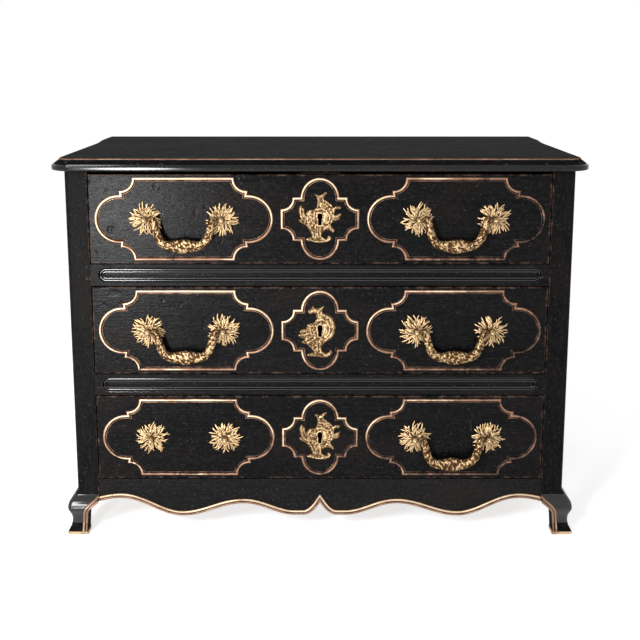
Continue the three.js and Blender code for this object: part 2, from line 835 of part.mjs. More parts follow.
// A drawer side with the groove that holds the bottom.
function drawerSide(drawer) {
  const outer = openingHalf - reveal;
  const inner = outer - drawerSideThickness;
  const top = drawer.bottom + (drawer.top - drawer.bottom) * drawerSideHeightShare;
  const groove = drawer.bottom + drawerBottomLift;
  const outline = [
    new THREE.Vector2(inner, drawer.bottom),
    new THREE.Vector2(outer, drawer.bottom),
    new THREE.Vector2(outer, top),
    new THREE.Vector2(inner, top),
    new THREE.Vector2(inner, groove + drawerBottomThickness + 2 * fit),
    new THREE.Vector2(inner + drawerGroove, groove + drawerBottomThickness + 2 * fit),
    new THREE.Vector2(inner + drawerGroove, groove),
    new THREE.Vector2(inner, groove),
  ];
  return boardAcross(outline, drawerSideStart, drawerEnd);
}

function drawerBack(drawer) {
  const half = openingHalf - reveal - drawerSideThickness - fit;
  const lower = drawer.bottom + drawerBottomLift + drawerBottomThickness + 2 * fit;
  const upper = drawer.bottom + (drawer.top - drawer.bottom) * drawerSideHeightShare - drawerBackDrop;
  return box(-half, half, drawerEnd - drawerBackThickness, drawerEnd, lower, upper);
}

function drawerBottom(drawer) {
  const half = openingHalf - reveal - drawerSideThickness + drawerGroove - fit;
  const lower = drawer.bottom + drawerBottomLift + fit;
  return box(-half, half, drawerSideStart, drawerEnd, lower, lower + drawerBottomThickness);
}

// Escutcheon outlines: two horns over a leafy shell with prongs, and a scrolled foot. Each point is
// to the right of the keyhole and above it, in shares of the plate's height.
const hornedPlateShares = [
  [-0.106, 0.497], [-0.06, 0.434], [-0.04, 0.347], [-0.057, 0.254], [-0.106, 0.183], [-0.205, 0.183],
  [-0.251, 0.145], [-0.274, 0.087], [-0.306, 0.127], [-0.311, 0.208], [-0.343, 0.222], [-0.364, 0.277],
  [-0.407, 0.22], [-0.407, 0.104], [-0.372, 0.006], [-0.41, -0.012], [-0.41, -0.046], [-0.343, -0.075],
  [-0.262, -0.121], [-0.222, -0.185], [-0.172, -0.277], [-0.153, -0.353], [-0.21, -0.376], [-0.272, -0.391],
  [-0.239, -0.425], [-0.135, -0.445], [0.003, -0.468], [0.096, -0.462], [0.171, -0.437], [0.214, -0.387],
  [0.194, -0.338], [0.156, -0.345], [0.148, -0.384], [0.096, -0.393], [0.038, -0.358], [0.021, -0.306],
  [0.05, -0.249], [0.102, -0.217], [0.188, -0.208], [0.255, -0.26], [0.29, -0.225], [0.246, -0.168],
  [0.202, -0.106], [0.246, -0.058], [0.298, -0.023], [0.371, -0.012], [0.4, 0.06], [0.408, 0.116],
  [0.344, 0.092], [0.275, 0.075], [0.281, 0.156], [0.321, 0.202], [0.394, 0.21], [0.402, 0.254],
  [0.31, 0.252], [0.267, 0.22], [0.223, 0.277], [0.154, 0.335], [0.075, 0.399], [0.073, 0.439],
  [0.125, 0.506], [0.117, 0.529], [0.032, 0.483], [-0.008, 0.468],
];
// The middle plate has a beak at its top and a spray of leaves at its left.
const beakedPlateShares = [
  [-0.217, 0.386], [-0.196, 0.328], [-0.138, 0.339], [-0.085, 0.344], [-0.063, 0.27], [-0.079, 0.185],
  [-0.138, 0.132], [-0.228, 0.12], [-0.252, 0.032], [-0.317, 0.021], [-0.386, -0.021], [-0.36, -0.063],
  [-0.407, -0.09], [-0.339, -0.138], [-0.28, -0.159], [-0.349, -0.233], [-0.254, -0.254], [-0.18, -0.312],
  [-0.138, -0.376], [-0.116, -0.429], [-0.233, -0.46], [-0.233, -0.492], [-0.032, -0.501], [0.132, -0.515],
  [0.212, -0.455], [0.228, -0.413], [0.19, -0.376], [0.18, -0.413], [0.116, -0.444], [0.042, -0.407],
  [0.021, -0.328], [0.069, -0.238], [0.169, -0.18], [0.243, -0.101], [0.28, 0.005], [0.27, 0.164],
  [0.222, 0.249], [0.138, 0.307], [0.074, 0.323], [0.032, 0.37], [0.053, 0.423], [0.076, 0.479],
  [0, 0.434], [-0.063, 0.42], [-0.116, 0.439], [-0.122, 0.481], [-0.148, 0.429],
];
const plateOutlines = [hornedPlateShares, beakedPlateShares, hornedPlateShares];

function escutcheon(drawer, n) {
  const size = plateHeights[n];
  const outline = plateOutlines[n].map(([x, z]) => new THREE.Vector2(x * size, z * size));
  const plate = new THREE.ExtrudeGeometry(new THREE.Shape(outline), {
    depth: plateThickness - plateBevel,
    bevelEnabled: true,
    bevelThickness: plateBevel,
    bevelSize: plateBevel,
    bevelOffset: -plateBevel,
    bevelSegments: 1,
    curveSegments: 1,
  });
  const face = bodyFront - fit;
  plate.rotateX(quarter).translate(0, face, drawer.middle);
  const boss = new THREE.SphereGeometry(1, bossSegments, bossRings * 2);
  boss.scale(bossRadius * bossRoundShare, bossHeight, bossRadius);
  boss.translate(bossOffset, face - plateThickness, drawer.middle + bossLift);
  const proud = face - plateThickness - bossHeight - overrun;
  const inFront = box(-size, size, proud, face, drawer.middle - size, drawer.middle + size);
  const made = solid(plate).add(solid(boss)).intersect(solid(inFront));
  return geometryOf(made.subtract(keyhole(drawer, bodyFront - bailPlane, bodyFront + overrun)));
}

// A rosette of leafy lobes with the post that a handle hangs from.
function rosette(x, z) {
  const face = bodyFront - fit;
  const points = 2 * rosetteLobes;
  const ring = ([across, up]) => {
    const made = [];
    for (let i = 0; i < points; i++) {
      const a = (Math.PI * i) / rosetteLobes;
      const notch = across === 1 && i % 2 ? rosetteNotchShare : 1;
      const r = rosetteRadius * across * notch;
      made.push(new THREE.Vector3(x + r * Math.cos(a), face - rosetteHeight * up, z + r * Math.sin(a)));
    }
    return made;
  };
  const back = ring([1, 0]);
  const disc = solid(skin([back, ...rosetteRingShares.map(ring)]));
  const headCentre = bailPlane - fit;
  const headHalf = postHeadLength / 2;
  const profile = [
    new THREE.Vector2(0, bedding),
    new THREE.Vector2(postNeckRadius, bedding),
    new THREE.Vector2(postNeckRadius, headCentre - headHalf),
    new THREE.Vector2(postHeadRadius, headCentre - headHalf / 2),
    new THREE.Vector2(postHeadRadius, headCentre + headHalf / 2),
    new THREE.Vector2(postNeckRadius, headCentre + headHalf),
    new THREE.Vector2(0, headCentre + headHalf),
  ];
  const knob = new THREE.LatheGeometry(profile, postSegments).rotateX(2 * quarter).translate(x, face, z);
  const hole = new THREE.CylinderGeometry(
    pinRadius + pinClearance,
    pinRadius + pinClearance,
    2 * postHeadRadius + 2 * overrun,
    postSegments,
  );
  hole.rotateZ(quarter).translate(x, bodyFront - bailPlane, z);
  return geometryOf(disc.add(solid(knob)).subtract(solid(hole)));
}

// A bail handle that hangs from pins in two posts, thin at the ears and with a bulge in the middle.
function bail(x, z) {
  const stations = [];
  const pinEnd = postSpacing / 2 + pinPastPost;
  stations.push([pinEnd, 0, pinRadius, pinRadius]);
  for (const [across, down, inPlane, outward] of bailShares) {
    stations.push([across * bailHalfWidth, -down * bailDrop, inPlane * bulgeRadius, outward * bulgeDepth]);
  }
  const mirrored = stations.map(([px, pz, a, b]) => [-px, pz, a, b]).reverse();
  const path = [...stations, [0, -bailDrop, bulgeRadius, bulgeDepth], ...mirrored];
  const rings = path.map(([px, pz, thick, deep], i) => {
    const before = path[Math.max(0, i - 1)];
    const after = path[Math.min(path.length - 1, i + 1)];
    const direction = new THREE.Vector2(after[0] - before[0], after[1] - before[1]).normalize();
    const ring = [];
    for (let k = 0; k < bailSides; k++) {
      const a = (2 * Math.PI * k) / bailSides;
      const reach = thick * Math.cos(a);
      const outward = deep * Math.sin(a);
      const dx = -direction.y * reach;
      const dz = direction.x * reach;
      ring.push(new THREE.Vector3(x + px + dx, bodyFront - bailPlane - outward, z + pz + dz));
    }
    return ring;
  });
  return skin(rings);
}

// Assembly

add("top_board", topBoard(), ebonised);
addPair("front_left_stile", "front_right_stile", frontStile(), ebonised);
addPair("rear_left_stile", "rear_right_stile", rearStile(), ebonised);
addPair("left_side_board", "right_side_board", sideBoard(), ebonised);
add("back_board", backBoard(), bareOak);
add("upper_rail", drawerRail(rails[0], drawers[1]), ebonised);
add("lower_rail", drawerRail(rails[1], drawers[2]), ebonised);
add("apron", apron(), ebonised);
const frontFoot = foot(bodyHalf, bodyFront, -1, 1, footHeight - fit);
addPair("front_left_foot", "front_right_foot", frontFoot, ebonised);

drawers.forEach((drawer, n) => {
  const name = `drawer_${n + 1}`;
  const frontSeat = bodyFront + (rails[n] ? railDepth : apronThickness);
  addPair(`runner_${n + 1}_left`, `runner_${n + 1}_right`, runner(drawer, frontSeat), bareOak);
  add(`${name}_front`, drawerFront(drawer), ebonised);
  addPair(`${name}_left_side`, `${name}_right_side`, drawerSide(drawer), bareOak);
  add(`${name}_back`, drawerBack(drawer), bareOak);
  add(`${name}_bottom`, drawerBottom(drawer), bareOak);
  add(`${name}_lock`, lockCase(drawer), iron);
  add(`${name}_lock_bolt`, lockBolt(drawer), iron);
  add(`${name}_escutcheon`, escutcheon(drawer, n), bronze);
  const centres = [-cartoucheAt, cartoucheAt];
  const posts = centres.flatMap((centre) => [centre - postSpacing / 2, centre + postSpacing / 2]);
  posts.forEach((x, k) => add(`${name}_rosette_${k + 1}`, rosette(x, drawer.middle), bronze));
  // The lower left handle is lost, and only its rosettes are left.
  if (n < drawers.length - 1) add(`${name}_left_bail`, bail(-cartoucheAt, drawer.middle), bronze);
  add(`${name}_right_bail`, bail(cartoucheAt, drawer.middle), bronze);
});

root.position.y = -(frontmost + topDepth) / 2;
export default root;
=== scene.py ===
# %% [markdown]
# # A black and gilt chest of three drawers
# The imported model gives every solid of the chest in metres, with x to the right, y to the back
# and z up. This lesson dresses it: finer mouldings, carved feet, cast handles, and finishes of
# worn black paint, gilding, bronze, oak and iron. Each piece rides on the body that moves it.

# %% Load the frame
import math
from itertools import product

import bmesh
import bpy
from mathutils import Matrix, Vector
from mathutils.geometry import delaunay_2d_cdt, intersect_point_line
from mathutils.noise import fractal


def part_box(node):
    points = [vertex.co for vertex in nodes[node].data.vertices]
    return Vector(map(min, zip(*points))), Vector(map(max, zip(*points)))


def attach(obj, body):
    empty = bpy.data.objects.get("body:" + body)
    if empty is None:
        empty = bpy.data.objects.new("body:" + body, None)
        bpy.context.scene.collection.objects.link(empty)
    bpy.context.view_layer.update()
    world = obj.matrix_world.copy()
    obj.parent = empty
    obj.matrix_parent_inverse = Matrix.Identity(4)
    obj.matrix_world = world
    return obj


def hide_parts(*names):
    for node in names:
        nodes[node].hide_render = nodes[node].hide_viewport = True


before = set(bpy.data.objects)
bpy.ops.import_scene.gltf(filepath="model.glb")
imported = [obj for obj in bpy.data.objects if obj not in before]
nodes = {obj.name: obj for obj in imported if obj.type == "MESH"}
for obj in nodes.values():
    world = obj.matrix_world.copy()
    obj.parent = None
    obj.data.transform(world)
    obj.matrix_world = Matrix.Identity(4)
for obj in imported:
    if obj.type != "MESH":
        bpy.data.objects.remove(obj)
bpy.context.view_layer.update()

# %% [markdown]
# ## Units and places
# A cabinet maker measures from the front edge of the top, in millimetres. The frame measures
# from the middle of the footprint, in metres. One small function joins the two, so that every
# size below can be read like a cutting list.

# %% From millimetres at the bench to metres in the frame
MM = 0.001
MIDDLE = 302.0  # depth of the frame's origin behind the front edge of the top
QUARTER = math.pi / 2
SIDE_SHARE = 0.9  # height of a drawer's side as a share of its front's


def place(x, y, z):
    """A point measured from the top's front edge, in mm, as a point of the frame."""
    return (x * MM, (y - MIDDLE) * MM, z * MM)


def bench(label):
    """The lowest and highest corner of a CAD node, in mm from the top's front edge."""
    return [(corner.x / MM, corner.y / MM + MIDDLE, corner.z / MM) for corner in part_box(label)]


SIDES = {-1: "left", 1: "right"}
FACE = bench("front_left_stile")[0][1]
OPENING = bench("front_right_stile")[0][0]
DRAWERS = []
for number in (1, 2, 3):
    low, high = bench(f"drawer_{number}_left_side")
    bottom, top = low[2], low[2] + (high[2] - low[2]) / SIDE_SHARE
    DRAWERS.append({"bottom": bottom, "top": top, "middle": (bottom + top) / 2})
    print("drawer", {key: round(value, 1) for key, value in DRAWERS[-1].items()})
print("face at", round(FACE, 1), "opening half", round(OPENING, 1))

# %% [markdown]
# ## Shells
# Most pieces are skins drawn over rings of points. A shell gathers points, faces and one number
# per point: how far the black has worn off there, or how much gilding it carries. On the beads, the
# first drawer's upper edge, the rosettes and the bails that number also holds painted highlight and
# painted shade. The finish reads that number, so the wear follows the carving and not a flat
# picture.


# %% A shell, and how it becomes a mesh
class Shell:
    def __init__(self):
        self.points, self.faces, self.wear = [], [], []

    def loft(self, rings, wear, joined=False):
        """A skin over rings of equal count. wear has a number for each point of a ring."""
        count, start = len(rings[0]), len(self.points)
        for number, ring in enumerate(rings):
            self.points += ring
            self.wear += wear(number) if callable(wear) else wear
        for span in range(len(rings) if joined else len(rings) - 1):
            here = start + span * count
            there = start + (span + 1) % len(rings) * count
            for i in range(count):
                j = (i + 1) % count
                self.faces.append((here + i, here + j, there + j, there + i))
        if not joined:
            last = start + (len(rings) - 1) * count
            self.faces += [tuple(range(first, first + count)) for first in (start, last)]

    def add(self, points, faces, wear):
        start = len(self.points)
        self.points += points
        self.wear += wear
        self.faces += [tuple(start + i for i in face) for face in faces]


WELD, SLIVER = 1e-6, 1e-7  # points closer than this are one, and faces thinner than this go


def wear_in(table):
    """The last number of each row of a section."""
    return [row[-1] for row in table]


def smooth_by_angle(mesh, degrees, turn_out=True):
    """Welds doubles, turns faces outwards, and keeps an edge sharp where it bends enough."""
    work = bmesh.new()
    work.from_mesh(mesh)
    bmesh.ops.remove_doubles(work, verts=work.verts, dist=WELD)
    bmesh.ops.dissolve_degenerate(work, edges=work.edges, dist=SLIVER)
    if turn_out:
        bmesh.ops.recalc_face_normals(work, faces=work.faces)
    for face in work.faces:
        face.smooth = True
    for edge in work.edges:
        edge.smooth = edge.calc_face_angle(0) < math.radians(degrees)
    work.to_mesh(mesh)
    work.free()


def skin(name, points, shell, degrees):
    """A mesh on the given points, in metres, with the faces and wear numbers of a shell."""
    mesh = bpy.data.meshes.new(name)
    mesh.from_pydata(points, [], shell.faces)
    mesh.attributes.new("wear", "FLOAT", "POINT").data.foreach_set("value", shell.wear)
    smooth_by_angle(mesh, degrees)
    return mesh


# %% From a mesh to a piece, and how a tool cuts into it
def in_scene(name, data):
    """An object that shows a mesh, a lamp or a camera in the scene."""
    shown = bpy.data.objects.new(name, data)
    bpy.context.scene.collection.objects.link(shown)
    return shown


def make(name, shell, materials, degrees=35, bare=None):
    """A piece from a shell. bare(face) picks the faces that take the second material."""
    mesh = skin(name, [place(*point) for point in shell.points], shell, degrees)
    for material in materials:
        mesh.materials.append(material)
    if bare:
        for face in mesh.polygons:
            face.material_index = int(bare(face))
    return in_scene(name, mesh)


def cut_out(piece, tool):
    """Cuts the tool's shape out of the piece, and throws the tool away."""
    cut = piece.modifiers.new("cut", "BOOLEAN")
    cut.operation, cut.solver, cut.object = "DIFFERENCE", "EXACT", tool
    ready = piece.evaluated_get(bpy.context.evaluated_depsgraph_get())
    whole, opened = piece.data, bpy.data.meshes.new_from_object(ready)
    piece.modifiers.clear()
    piece.data = opened
    for spare in (whole, tool.data):
        bpy.data.meshes.remove(spare)


BOLT_PLAY, BOLT_THROW = 0.8, 9.8  # room round a lock bolt and above it
MORTISE_START = 3.0  # below the bolt's tip, outside the wood


def mortise(piece, bolt, degrees=40):
    """Cuts the slot that a lock bolt shoots up into, a little wider than the bolt all round."""
    low, high = bench(bolt)
    xs, ys = [(low[i] - BOLT_PLAY, high[i] + BOLT_PLAY) for i in (0, 1)]
    zs = (high[2] - MORTISE_START, high[2] + BOLT_THROW)
    cutter = Shell()
    cutter.add([(x, y, z) for x in xs for y in ys for z in zs],
               [(0, 1, 3, 2), (4, 6, 7, 5), (0, 4, 5, 1), (2, 3, 7, 6), (0, 2, 6, 4), (1, 5, 7, 3)],
               [0.0] * 8)
    cut_out(piece, make("mortise_cutter", cutter, []))
    smooth_by_angle(piece.data, degrees, turn_out=False)
    print(piece.name, "mortised,", len(piece.data.polygons), "faces")


def fit(piece, body, slot, *replaced):
    """Rides the piece on its body, and hides the CAD nodes that it stands for."""
    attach(piece, body)
    if replaced:
        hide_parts(*replaced)
    print(piece.name, len(piece.data.polygons), "faces on", body)


# %% [markdown]
# ## Curves on paper
# Outlines are drawn as a carver draws them: arcs about a centre, one quarter of a cartouche
# flipped four ways, and a slow S between two heights. A section taken along such a line makes a
# moulding.


# %% Arcs, mirrored quarters and smooth curves
SAME_PLACE, SHARPEST = 0.01, 0.3  # closer points are one, and a sharper mitre is cut short


def arc(cx, cy, rx, ry, start, end, steps):
    turns = [start + (end - start) * i / steps for i in range(steps + 1)]
    return [(cx + rx * math.cos(a), cy + ry * math.sin(a)) for a in turns]


def fourfold(points):
    """A quarter outline mirrored to all four quarters, turning to the left, without doubles."""

    def flip(sx, sy):
        return [(x * sx, y * sy) for x, y in points]

    ring = flip(1, 1) + flip(-1, 1)[::-1] + flip(-1, -1) + flip(1, -1)[::-1]
    return [p for i, p in enumerate(ring) if math.dist(p, ring[(i + 1) % len(ring)]) > SAME_PLACE]


def ease(t):
    return (1 - math.cos(math.pi * t)) / 2


def kept_in(value, low=0.0, high=1.0):
    return max(low, min(high, value))


def between(table, at):
    """A value read along a list of (place, value) pairs, with a smooth curve through them."""
    last = len(table) - 1
    i = 0
    while i < last - 1 and at > table[i + 1][0]:
        i += 1
    (x0, y0), (x1, y1) = table[i], table[i + 1]
    before, after = table[max(0, i - 1)], table[min(last, i + 2)]
    slope0 = (y1 - before[1]) / (x1 - before[0])
    slope1 = (after[1] - y0) / (after[0] - x0)
    t = (at - x0) / (x1 - x0)
    u = 1 - t
    bend = t * u * u * (x1 - x0) * slope0 - t * t * u * (x1 - x0) * slope1
    return (1 + 2 * t) * u * u * y0 + t * t * (3 - 2 * t) * y1 + bend


# %% Sections taken along a path
def heading(path, i):
    """The direction of a closed path at one of its points."""
    before, after = path[i - 1], path[(i + 1) % len(path)]
    return Vector((after[0] - before[0], after[1] - before[1])).normalized()


def moulding(path, section, joined):
    """Rings of a section along a path on the front face. A section point is (to the left of
    the path, out of the face, gilding), and corners are mitred."""
    rings = []
    for i, (x, z) in enumerate(path):
        before = path[i - 1] if joined or i > 0 else None
        after = path[(i + 1) % len(path)] if joined or i < len(path) - 1 else None
        sides = []
        for a, b in ((before, (x, z)), ((x, z), after)):
            if a is not None and b is not None:
                sides.append(Vector((a[1] - b[1], b[0] - a[0])).normalized())
        mitre = sum(sides, Vector((0, 0))).normalized()
        across = mitre * (1 / max(SHARPEST, mitre.dot(sides[0])))
        rings.append([(x + across.x * u, FACE - v, z + across.y * u) for u, v, _ in section])
    return rings


# %% [markdown]
# ## Nodes written as sums
# A finish is a net of nodes. To keep it readable, what a socket gives is wrapped as a value that
# can be added and multiplied in plain Python. Each sum or product puts one Math node in the tree.


# %% Values, and nodes fed with them
class Value:
    """What a socket gives. Arithmetic with it adds Math nodes to its tree."""

    def __init__(self, socket):
        self.socket, self.tree = socket, socket.id_data


for sign, operation in (("add", "ADD"), ("sub", "SUBTRACT"), ("mul", "MULTIPLY"),
                        ("truediv", "DIVIDE")):
    setattr(Value, f"__{sign}__", lambda a, b, kind=operation: reckon(kind, a, b))
    setattr(Value, f"__r{sign}__", lambda a, b, kind=operation: reckon(kind, b, a))


def feed(socket, item):
    """Wires a value, or a node's first output, into a socket, or sets the socket's own value."""
    if isinstance(item, bpy.types.Node):
        item = Value(item.outputs[0])
    if isinstance(item, Value):
        item.tree.links.new(item.socket, socket)
    elif socket.type == "RGBA":
        socket.default_value = (*item, 1)
    else:
        socket.default_value = item


def node(tree, kind, settings=None, **inputs):
    """A node with its settings made, and its named inputs fed."""
    made = tree.nodes.new(kind)
    for key, setting in (settings or {}).items():
        setattr(made, key, setting)
    for key, item in inputs.items():
        feed(made.inputs[key.replace("_", " ")], item)
    return made


def reckon(operation, *given):
    tree = next(item.tree for item in given if isinstance(item, Value))
    made = node(tree, "ShaderNodeMath", {"operation": operation})
    for socket, item in zip(made.inputs, given):
        feed(socket, item)
    return Value(made.outputs[0])


def spread(value, low, high):
    """0 below low, 1 above high."""
    return Value(node(value.tree, "ShaderNodeMapRange", {"interpolation_type": "SMOOTHSTEP"},
                      Value=value, From_Min=low, From_Max=high).outputs["Result"])


MIX_SHARE, MIX_FIRST, MIX_SECOND, MIX_RESULT = 0, 6, 7, 2  # a Mix node's sockets for colours


def blend(share, first, second):
    """A colour between two others."""
    made = node(share.tree, "ShaderNodeMix", {"data_type": "RGBA"})
    for socket, item in ((MIX_SHARE, share), (MIX_FIRST, first), (MIX_SECOND, second)):
        feed(made.inputs[socket], item)
    return Value(made.outputs[MIX_RESULT])


def noise(vector, scale, detail, rough=0.55):
    return Value(node(vector.tree, "ShaderNodeTexNoise", Vector=vector, Scale=scale, Detail=detail,
                      Roughness=rough).outputs["Fac"])


def stretched(vector, scale):
    made = node(vector.tree, "ShaderNodeVectorMath", {"operation": "MULTIPLY"})
    feed(made.inputs[0], vector)
    feed(made.inputs[1], scale)
    return Value(made.outputs[0])


# %% [markdown]
# ## Shared effects of the finishes
# Two effects serve more than one finish, so each is a small node group: fine wood grain with
# knocks, and the break-up of worn gilding. They put out values only. The shader stays in each
# material.


# %% Groups
def effect(name, inputs, outputs):
    """An empty shader group with named sockets: its tree, what it takes and what it gives."""
    tree = bpy.data.node_groups.new(name, "ShaderNodeTree")
    for label in inputs:
        kind = "NodeSocketVector" if label == "Vector" else "NodeSocketFloat"
        tree.interface.new_socket(label, in_out="INPUT", socket_type=kind)
    for label in outputs:
        tree.interface.new_socket(label, in_out="OUTPUT", socket_type="NodeSocketFloat")
    taken = tree.nodes.new("NodeGroupInput").outputs
    given = tree.nodes.new("NodeGroupOutput").inputs
    return tree, {label: Value(taken[label]) for label in inputs}, given


def applied(group, **inputs):
    """The outputs of a group that is put in a material."""
    made = node(inputs["Vector"].tree, "ShaderNodeGroup", {"node_tree": group}, **inputs)
    return {socket.name: Value(socket) for socket in made.outputs}


# %% Grain and knocks: lines along the board, a fine mottling, soft dents, scratches and specks
grain, get, give = effect("board_grain", ["Vector"],
                          ["Height", "Shade", "Scratch", "Speck", "Brown"])
board = get["Vector"]
lines = noise(stretched(board, (14, 120, 300)), 1, 5, 0.6)
mottle = noise(stretched(board, (120, 190, 210)), 1, 3, 0.65)
broad = noise(stretched(board, (2.6, 7, 8)), 1, 3, 0.6)
cuts = node(grain, "ShaderNodeTexVoronoi", {"feature": "DISTANCE_TO_EDGE"},
            Vector=stretched(board, (5, 9, 40)), Scale=1)
thin = spread(Value(cuts.outputs["Distance"]), 0.012, 0.0)
scratch = thin * spread(noise(board, 9, 3), 0.6, 0.7)
dent = spread(noise(board, 34, 2, 0.5), 0.36, 0.24) * 0.8
feed(give["Height"], lines * 0.5 + mottle * 0.7 - dent - scratch * 0.4)
feed(give["Shade"], lines * 0.3 + mottle * 0.5 + broad * 0.2)
feed(give["Scratch"], scratch)
feed(give["Speck"], spread(noise(board, 240, 2, 0.5), 0.67, 0.74))
feed(give["Brown"], spread(broad, 0.48, 0.66))
print("group", grain.name, len(grain.nodes), "nodes")

# %% Worn gilding: the wear number, broken up, as a gold mask and a red-brown mask below it
worn, get, give = effect("worn_gilding", ["Vector", "Wear", "Patchiness"], ["Gold", "Ground"])
mottled = noise(get["Vector"], 55, 4, 0.6) * 0.62 + noise(get["Vector"], 420, 3, 0.6) * 0.38
level = get["Wear"] + (mottled - 0.5) * get["Patchiness"] * 2.2
feed(give["Gold"], spread(level, 0.5, 0.62))
feed(give["Ground"], spread(level, 0.22, 0.42))
print("group", worn.name, len(worn.nodes), "nodes")


# %% What every material starts from
def finish_of(name, **constants):
    """A new material, its shader's sockets, and the object coordinates that patterns read."""
    material = bpy.data.materials.new(name)
    material.use_nodes = True
    tree = material.node_tree
    sockets = tree.nodes["Principled BSDF"].inputs
    for key, constant in constants.items():
        feed(sockets[key.replace("_", " ")], constant)
    return material, sockets, Value(tree.nodes.new("ShaderNodeTexCoord").outputs["Object"])


def wear_of(material):
    """The wear number of each point."""
    found = node(material.node_tree, "ShaderNodeAttribute", {"attribute_name": "wear"})
    return Value(found.outputs["Fac"])


def dress(sockets, colour, rough, height, strength, distance):
    """Feeds a shader its colour, its roughness and the fine relief of its surface."""
    feed(sockets["Base Color"], colour)
    feed(sockets["Roughness"], rough)
    if strength:
        feed(sockets["Normal"], node(height.tree, "ShaderNodeBump", Strength=strength,
                                     Distance=distance, Height=height))


# %% [markdown]
# ## The black
# The black is a thin paint over oak, rubbed and waxed. It is never pure black: the grain shows
# as faint lines, the sheen changes from place to place, and where hands and dusters rub, the
# red ground and then old gilding come through. The wear number of each point drives that.

# %% Black paint over oak, with its gilding
BLACK, SOOT, BROWN = (0.0032, 0.0031, 0.0034), (0.0092, 0.0088, 0.0089), (0.0112, 0.0072, 0.0062)
GROUND, CHALKY = (0.085, 0.05, 0.037), (0.16, 0.15, 0.14)
GOLD, COPPER = (0.68, 0.53, 0.36), (0.285, 0.158, 0.1)
BROWN_SHARE, SPECK_SHARE, SCRATCH_SHARE = 0.38, 0.24, 0.11
WORTH_FROM, WORTH = 0.8, 1.5  # a point that carries more gilding also has the paler gold
TINT_RANGE, GILT_METAL, GROUND_DULL = 0.11, 0.6, 0.28


def ebonised(name, turn=(0, 0, 0), use_wear=True, patchiness=0.5, shine=0.05, dull=-0.1,
             rosy=0.49, tooth=0.7, uneven=0.62, figure=1.0):
    """turn swaps the axes so that the grain runs along the board. dull adds to the roughness and
    uneven is how much it changes with the grain. rosy is where the gilding turns from pale gold
    to the copper below it, and tooth is how strongly the grain stands out. A figure below 1
    makes the grain's figure larger."""
    material, sockets, where = finish_of(f"black_paint_{name}", Specular_IOR_Level=shine)
    turned = node(where.tree, "ShaderNodeMapping", Vector=where, Rotation=turn,
                  Scale=(figure, figure, figure))
    wood = applied(grain, Vector=Value(turned.outputs[0]))
    colour = blend(spread(wood["Shade"], 0.42, 0.62), BLACK, SOOT)
    colour = blend(wood["Brown"] * BROWN_SHARE, colour, BROWN)
    colour = blend(wood["Speck"] * SPECK_SHARE, colour, CHALKY)
    colour = blend(wood["Scratch"] * SCRATCH_SHARE, colour, CHALKY)
    rough = wood["Shade"] * uneven + dull
    if use_wear:
        wear = wear_of(material)
        masks = applied(worn, Vector=where, Wear=wear, Patchiness=patchiness)
        tint = noise(where, 16, 4, 0.65) + (wear - WORTH_FROM) * WORTH
        gilding = blend(spread(tint, rosy - TINT_RANGE, rosy + TINT_RANGE), COPPER, GOLD)
        colour = blend(masks["Gold"], blend(masks["Ground"], colour, GROUND), gilding)
        feed(sockets["Metallic"], masks["Gold"] * GILT_METAL)
        rough = rough + masks["Ground"] * GROUND_DULL
    dress(sockets, colour, rough, wood["Height"], tooth, 0.0008)
    return material


UPRIGHT = (0, QUARTER, 0)
black_across = ebonised("across", dull=0.0)
black_moulded = ebonised("moulded", patchiness=0.2, shine=0.26, dull=0.09, rosy=0.4, tooth=0,
                         uneven=0.04)
black_railed = ebonised("rails", shine=0.52, dull=0.12, tooth=0, uneven=0.02)
black_carved = ebonised("carved", patchiness=0.7, rosy=0.44)
black_apron = ebonised("apron", shine=0.1, dull=-0.06, rosy=0.5)
black_upright = ebonised("upright", UPRIGHT, shine=0.035, dull=0.25, uneven=0.4)
black_matt = ebonised("matt", patchiness=0.4, shine=0.022, dull=0.27, rosy=0.42, uneven=0.9,
                      figure=0.4)
black_foot = ebonised("feet", UPRIGHT, shine=0.5, dull=0.2, rosy=0.62, tooth=0, uneven=0.05)
black_plain = ebonised("plain", UPRIGHT, use_wear=False, dull=0.0)
print("black finishes", sum(m.name.startswith("black_paint") for m in bpy.data.materials))

# %% [markdown]
# ## Bronze
# The mounts are cast and chased, gilt once and rubbed since. The high points shine pale, the
# hollows keep a brown dirt. Here the wear number says how high a point stands on the casting; on
# the rosettes and bails it also holds painted light, brighter at the left and shaded to the right.

# %% Cast bronze, bright on its high points
GILT_HIGH, GILT_LOW, GRIME = (0.66, 0.468, 0.257), (0.06, 0.029, 0.011), (0.19, 0.09, 0.045)


def bronze():
    material, sockets, where = finish_of("gilt_bronze", Metallic=1.0)
    speck = noise(where, 420, 3, 0.6)
    cloud = noise(where, 190, 3, 0.6)
    high = spread(wear_of(material) + (cloud - 0.5), 0.16, 0.9)
    colour = blend(spread(speck, 0.56, 0.68) * 0.7, blend(high, GILT_LOW, GILT_HIGH), GRIME)
    dress(sockets, colour, 0.66 - high * 0.18, speck + cloud, 0.25, 0.0004)
    return material


gilt_bronze = bronze()
print("bronze", gilt_bronze.name)

# %% [markdown]
# ## Oak and iron
# Inside, the drawers are bare oak, darkened by hands, with the grain along each board. The locks
# are dark iron.

# %% Bare oak and iron
OAK_DARK, OAK_PALE, OAK_PORE = (0.17, 0.095, 0.045), (0.36, 0.23, 0.125), (0.10, 0.055, 0.028)
OAK_HANDLED = (0.16, 0.10, 0.06)
IRON, RUST = (0.11, 0.10, 0.095), (0.15, 0.075, 0.04)


